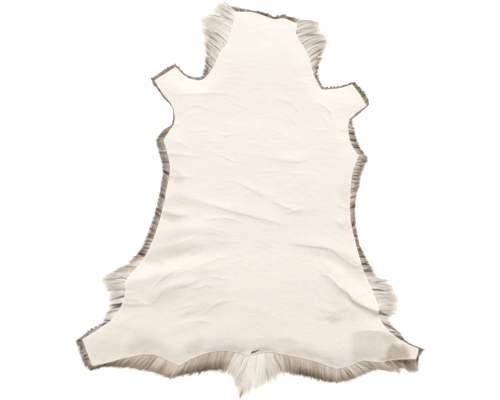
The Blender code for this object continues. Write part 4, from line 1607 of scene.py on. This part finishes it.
TAIL_STREAKS = [
    (-62, -481, -40, -485, 1.9, 49), (-40, -485, -21, -496, 1.9, 72),
    (-21, -496, -17, -506, 1.9, 72), (-59, -503, -74, -529, 1.4, 44),
    (-5, -503, -30, -541, 1.4, 62), (-30, -541, -46, -573, 1.4, 44),
    (-11, -519, -33, -560, 1.4, 49), (-17, -497, -36, -519, 1.4, 42),
    (-24, -551, -36, -586, 1.4, 49), (-14, -544, -30, -582, 1.4, 42),
    (-27, -605, -30, -617, 3.3, 130), (-30, -617, -36, -636, 4.7, 143),
    (11, -510, 24, -541, 1.4, 44), (24, -541, 28, -557, 1.4, 34), (40, -519, 36, -557, 1.9, 39),
    (46, -532, 62, -573, 1.9, 52), (55, -494, 87, -535, 1.6, 42), (65, -487, 84, -503, 1.6, 68),
    (84, -503, 97, -532, 1.6, 65), (55, -483, 71, -489, 1.6, 81), (30, -488, 49, -485, 1.9, 55),
    (97, -513, 116, -541, 1.6, 47), (-40, -506, -59, -548, 1.2, 29),
    (-46, -491, -65, -522, 1.2, 31), (68, -510, 81, -548, 1.2, 31), (5, -529, 11, -592, 5.2, -14),
]
TAIL_HAIR = hair_finish("tail_hair")
tail_roots = roots_along(
    [(TAIL[0], TAIL[-1])], seed=707, per_mm=30.0, tuft=10.0, lock=2.4,
    longest=1.18, tone_step=9.0, gap_shade=8.0, depth_shade=6.0,
)
tail_hair = grown(
    "tail_hair", tail_roots, TAIL_HAIR, TAIL_STREAKS, half_width=0.6, flatness=0.2, joints=4
)


# ---- The coat: underneath ------------------------------------------------------------------
# The back's own hair, which the hide lies on: thick locks pressed flat, combed from the neck
# to the tail and out towards the flanks.

LOCK_GAP = 11.0  # between the roots of two locks
LOCK_CLEAR = 8.0  # how far in from the rim they begin
LOCK_SHIFT = 3.0  # how far their roots are off even rows
LOCK_HIGH, LOCK_FALL = 4.6, 3.4  # a root's height, and how far its tip lies below it
LOCK_SHORTEST, LOCK_LONGEST = 42.0, 66.0
LOCK_CUT = 0.3  # this share of the length of those that would pass the rim
FAN_SIZE, FAN_MOST = 260.0, 0.35  # the locks fan out as they lie farther from the spine
FAN_STRAY, LOCK_BOW = 0.16, 4.0  # how far each turns off that, in radians, and bows
UNDER_TONE, UNDER_CLOUDS, UNDER_STEP = 150.0, 18.0, 14.0
UNDER_SHADES = np.array([-25.0, 0.0, 18.0])  # a lock's root, middle and tip against its tone
under_rng = np.random.default_rng(808)
bed_points = points_inside(LOCK_GAP, LOCK_CLEAR)
bed_count = len(bed_points)
bed_points[:, :2] += LOCK_SHIFT * under_rng.standard_normal((bed_count, 2)).clip(-1.5, 1.5)
lock_run = under_rng.uniform(LOCK_SHORTEST, LOCK_LONGEST, bed_count)
fan_out = FAN_MOST * np.sin(bed_points[:, 0] / FAN_SIZE)
fan_out += FAN_STRAY * under_rng.standard_normal(bed_count)
lock_reach = np.column_stack(
    [lock_run * np.sin(fan_out), -lock_run * np.cos(fan_out), np.zeros(bed_count)]
)
lock_ends = bed_points[:, :2] + lock_reach[:, :2]
past_rim = np.array([height_at(x, y) is None for x, y in lock_ends])
lock_reach[past_rim] *= LOCK_CUT
lock_tone = UNDER_TONE + UNDER_CLOUDS * smooth_noise(bed_points[:, :2], 120.0, 120.0, 3.0)
lock_tone += UNDER_STEP * under_rng.standard_normal(bed_count)
lock_bow = LOCK_BOW * under_rng.standard_normal((bed_count, 2))
under_roots = {
    "place": np.column_stack([bed_points[:, :2], np.full(bed_count, LOCK_HIGH)]),
    "reach": lock_reach,
    "bend": np.column_stack([lock_bow, np.full(bed_count, -LOCK_FALL)]),
    "tones": lock_tone[:, None] + UNDER_SHADES,
    "stoutness": under_rng.uniform(0.8, 1.2, bed_count),
    "warmth": 0.5 + 0.1 * under_rng.standard_normal(bed_count),
}
back_hair = grown("back_hair", under_roots, FLANK_HAIR, half_width=4.2, flatness=0.3, joints=2)


# ---- The root of the tail ------------------------------------------------------------------
# A short dark slit in the leather over the tail, where the tail was drawn. A thin dark scrap
# along it stands just proud of the skin: its dark is partly the hair under the slit and partly
# painted shade in the opening.

# Places along it and its half width there.
SLIT = [(2, -480.5, 1.2), (8, -477.5, 2.4), (15, -476, 2.2), (20, -473.5, 1.4), (27, -471.5, 0.7)]
SLIT_PROUD = 0.5  # its lips stand this far over the skin
SLIT_CROWN = 0.4  # and its middle this much higher
SLIT_DEEP = 1.4  # from its lips down into the leather

near_skin = level_tree(skin_places)


def on_skin(places, above):
    """Places on the hide, each with the height of the skin there and this much more."""
    heights = [skin_height[near_skin.find((x, y, 0))[1]] + above for x, y in places]
    return np.column_stack([places, heights])


def slit_scrap():
    """A thin ragged scrap along the slit, following the skin's height."""
    rng = np.random.default_rng(9)
    line = crest_line([row[:2] for row in SLIT])
    count = len(line)
    half = np.interp(
        np.linspace(0, 1, count), np.linspace(0, 1, len(SLIT)), [row[2] for row in SLIT]
    )
    square = left_of(np.gradient(line, axis=0))
    left = line + square * (half * rng.uniform(0.7, 1.3, count))[:, None]
    right = line - square * (half * rng.uniform(0.7, 1.3, count))[:, None]
    top = on_skin(np.concatenate([left, right[::-1]]), SLIT_PROUD)
    size = len(top)
    spine = 2 * size
    faces = []
    for i in range(count - 1):
        faces.append([i, spine + i, spine + i + 1, i + 1])
        faces.append([spine + i, size - 1 - i, size - 2 - i, spine + i + 1])
    faces.append([0, size - 1, spine])
    faces.append([count - 1, spine + count - 1, count])
    faces += band(size, 0, size)
    faces.append(list(range(size, 2 * size)))
    middle = on_skin(line, SLIT_PROUD + SLIT_CROWN)
    return np.concatenate([top, top - (0, 0, SLIT_DEEP), middle]), faces


def outward(made):
    """Turns every face of a closed piece outwards."""
    shape = bmesh.new()
    shape.from_mesh(made.data)
    bmesh.ops.recalc_face_normals(shape, faces=shape.faces)
    shape.to_mesh(made.data)
    shape.free()


slit = mesh_of("tail_root_slit", *slit_scrap())
outward(slit)
# The scrap's dark: partly the hair under the slit, partly painted shade in its opening.
slit_dark = Finish("slit_hair_and_shade")
spots = slit_dark.speckle(slit_dark.node("ShaderNodeTexCoord", output=3), 420.0)
spotted = slit_dark.mixed((1.8 * spots - 0.4).limited(), seen(44, 34, 26), seen(92, 76, 60))
slit_dark.surface(Base_Color=spotted, Roughness=0.7, Normal=slit_dark.grain(0.6, 0.0005, spots))
slit.data.materials.append(slit_dark.material)
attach(slit, "root")


# ---- The skin, laid on its coat -------------------------------------------------------------
# The leather goes over the whole coat and is what shows from above. It is one cut sheet.

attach(skin, "root")
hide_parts("hide")


# ---- The floor, the light and the camera ----------------------------------------------------
# A plain near-white floor under an even soft light, with a wide lamp beyond the neck that
# brings out the creases, and a camera straight above.

WHITE = (1.0, 1.0, 1.0, 1.0)
FLOOR_GLOW = 0.55  # it gives off a little light of its own, so that its shadows stay faint
floor_mesh = bpy.data.meshes.new("floor")
floor_mesh.from_pydata([(-3, -3, 0), (3, -3, 0), (3, 3, 0), (-3, 3, 0)], [], [(0, 1, 2, 3)])
floor = in_scene("floor", floor_mesh)
pale_floor = Finish("pale_floor")
pale_floor.surface(
    Base_Color=(0.9, 0.9, 0.9, 1.0), Roughness=0.95,
    Emission_Color=WHITE, Emission_Strength=FLOOR_GLOW,
)
floor_mesh.materials.append(pale_floor.material)

SKY, SUN = 0.64, 1.72  # how bright the room and the lamp are
SUN_TILT, SUN_TURN, SUN_SOFTNESS = -48.0, -8.0, 30.0  # in degrees
world = bpy.data.worlds.new("soft_room")
world.use_nodes = True
world.node_tree.nodes["Background"].inputs["Color"].default_value = WHITE
world.node_tree.nodes["Background"].inputs["Strength"].default_value = SKY
bpy.context.scene.world = world
sun_data = bpy.data.lights.new("window", "SUN")
sun_data.energy = SUN
sun_data.angle = np.radians(SUN_SOFTNESS)
sun = in_scene("window", sun_data)
sun.rotation_euler = (np.radians(SUN_TILT), 0.0, np.radians(SUN_TURN))

VIEW_WIDTH, CAMERA_HEIGHT = 1.5825, 8.0  # in metres
VIEW_MIDDLE = (-0.0016, 0.0032)
SENSOR = 36.0
camera_data = bpy.data.cameras.new("camera")
camera_data.sensor_width = SENSOR
camera_data.lens = SENSOR * CAMERA_HEIGHT / VIEW_WIDTH
camera = in_scene("camera", camera_data)
camera.location = (*VIEW_MIDDLE, CAMERA_HEIGHT)
bpy.context.scene.camera = camera
bpy.context.scene.view_settings.view_transform = "Standard"
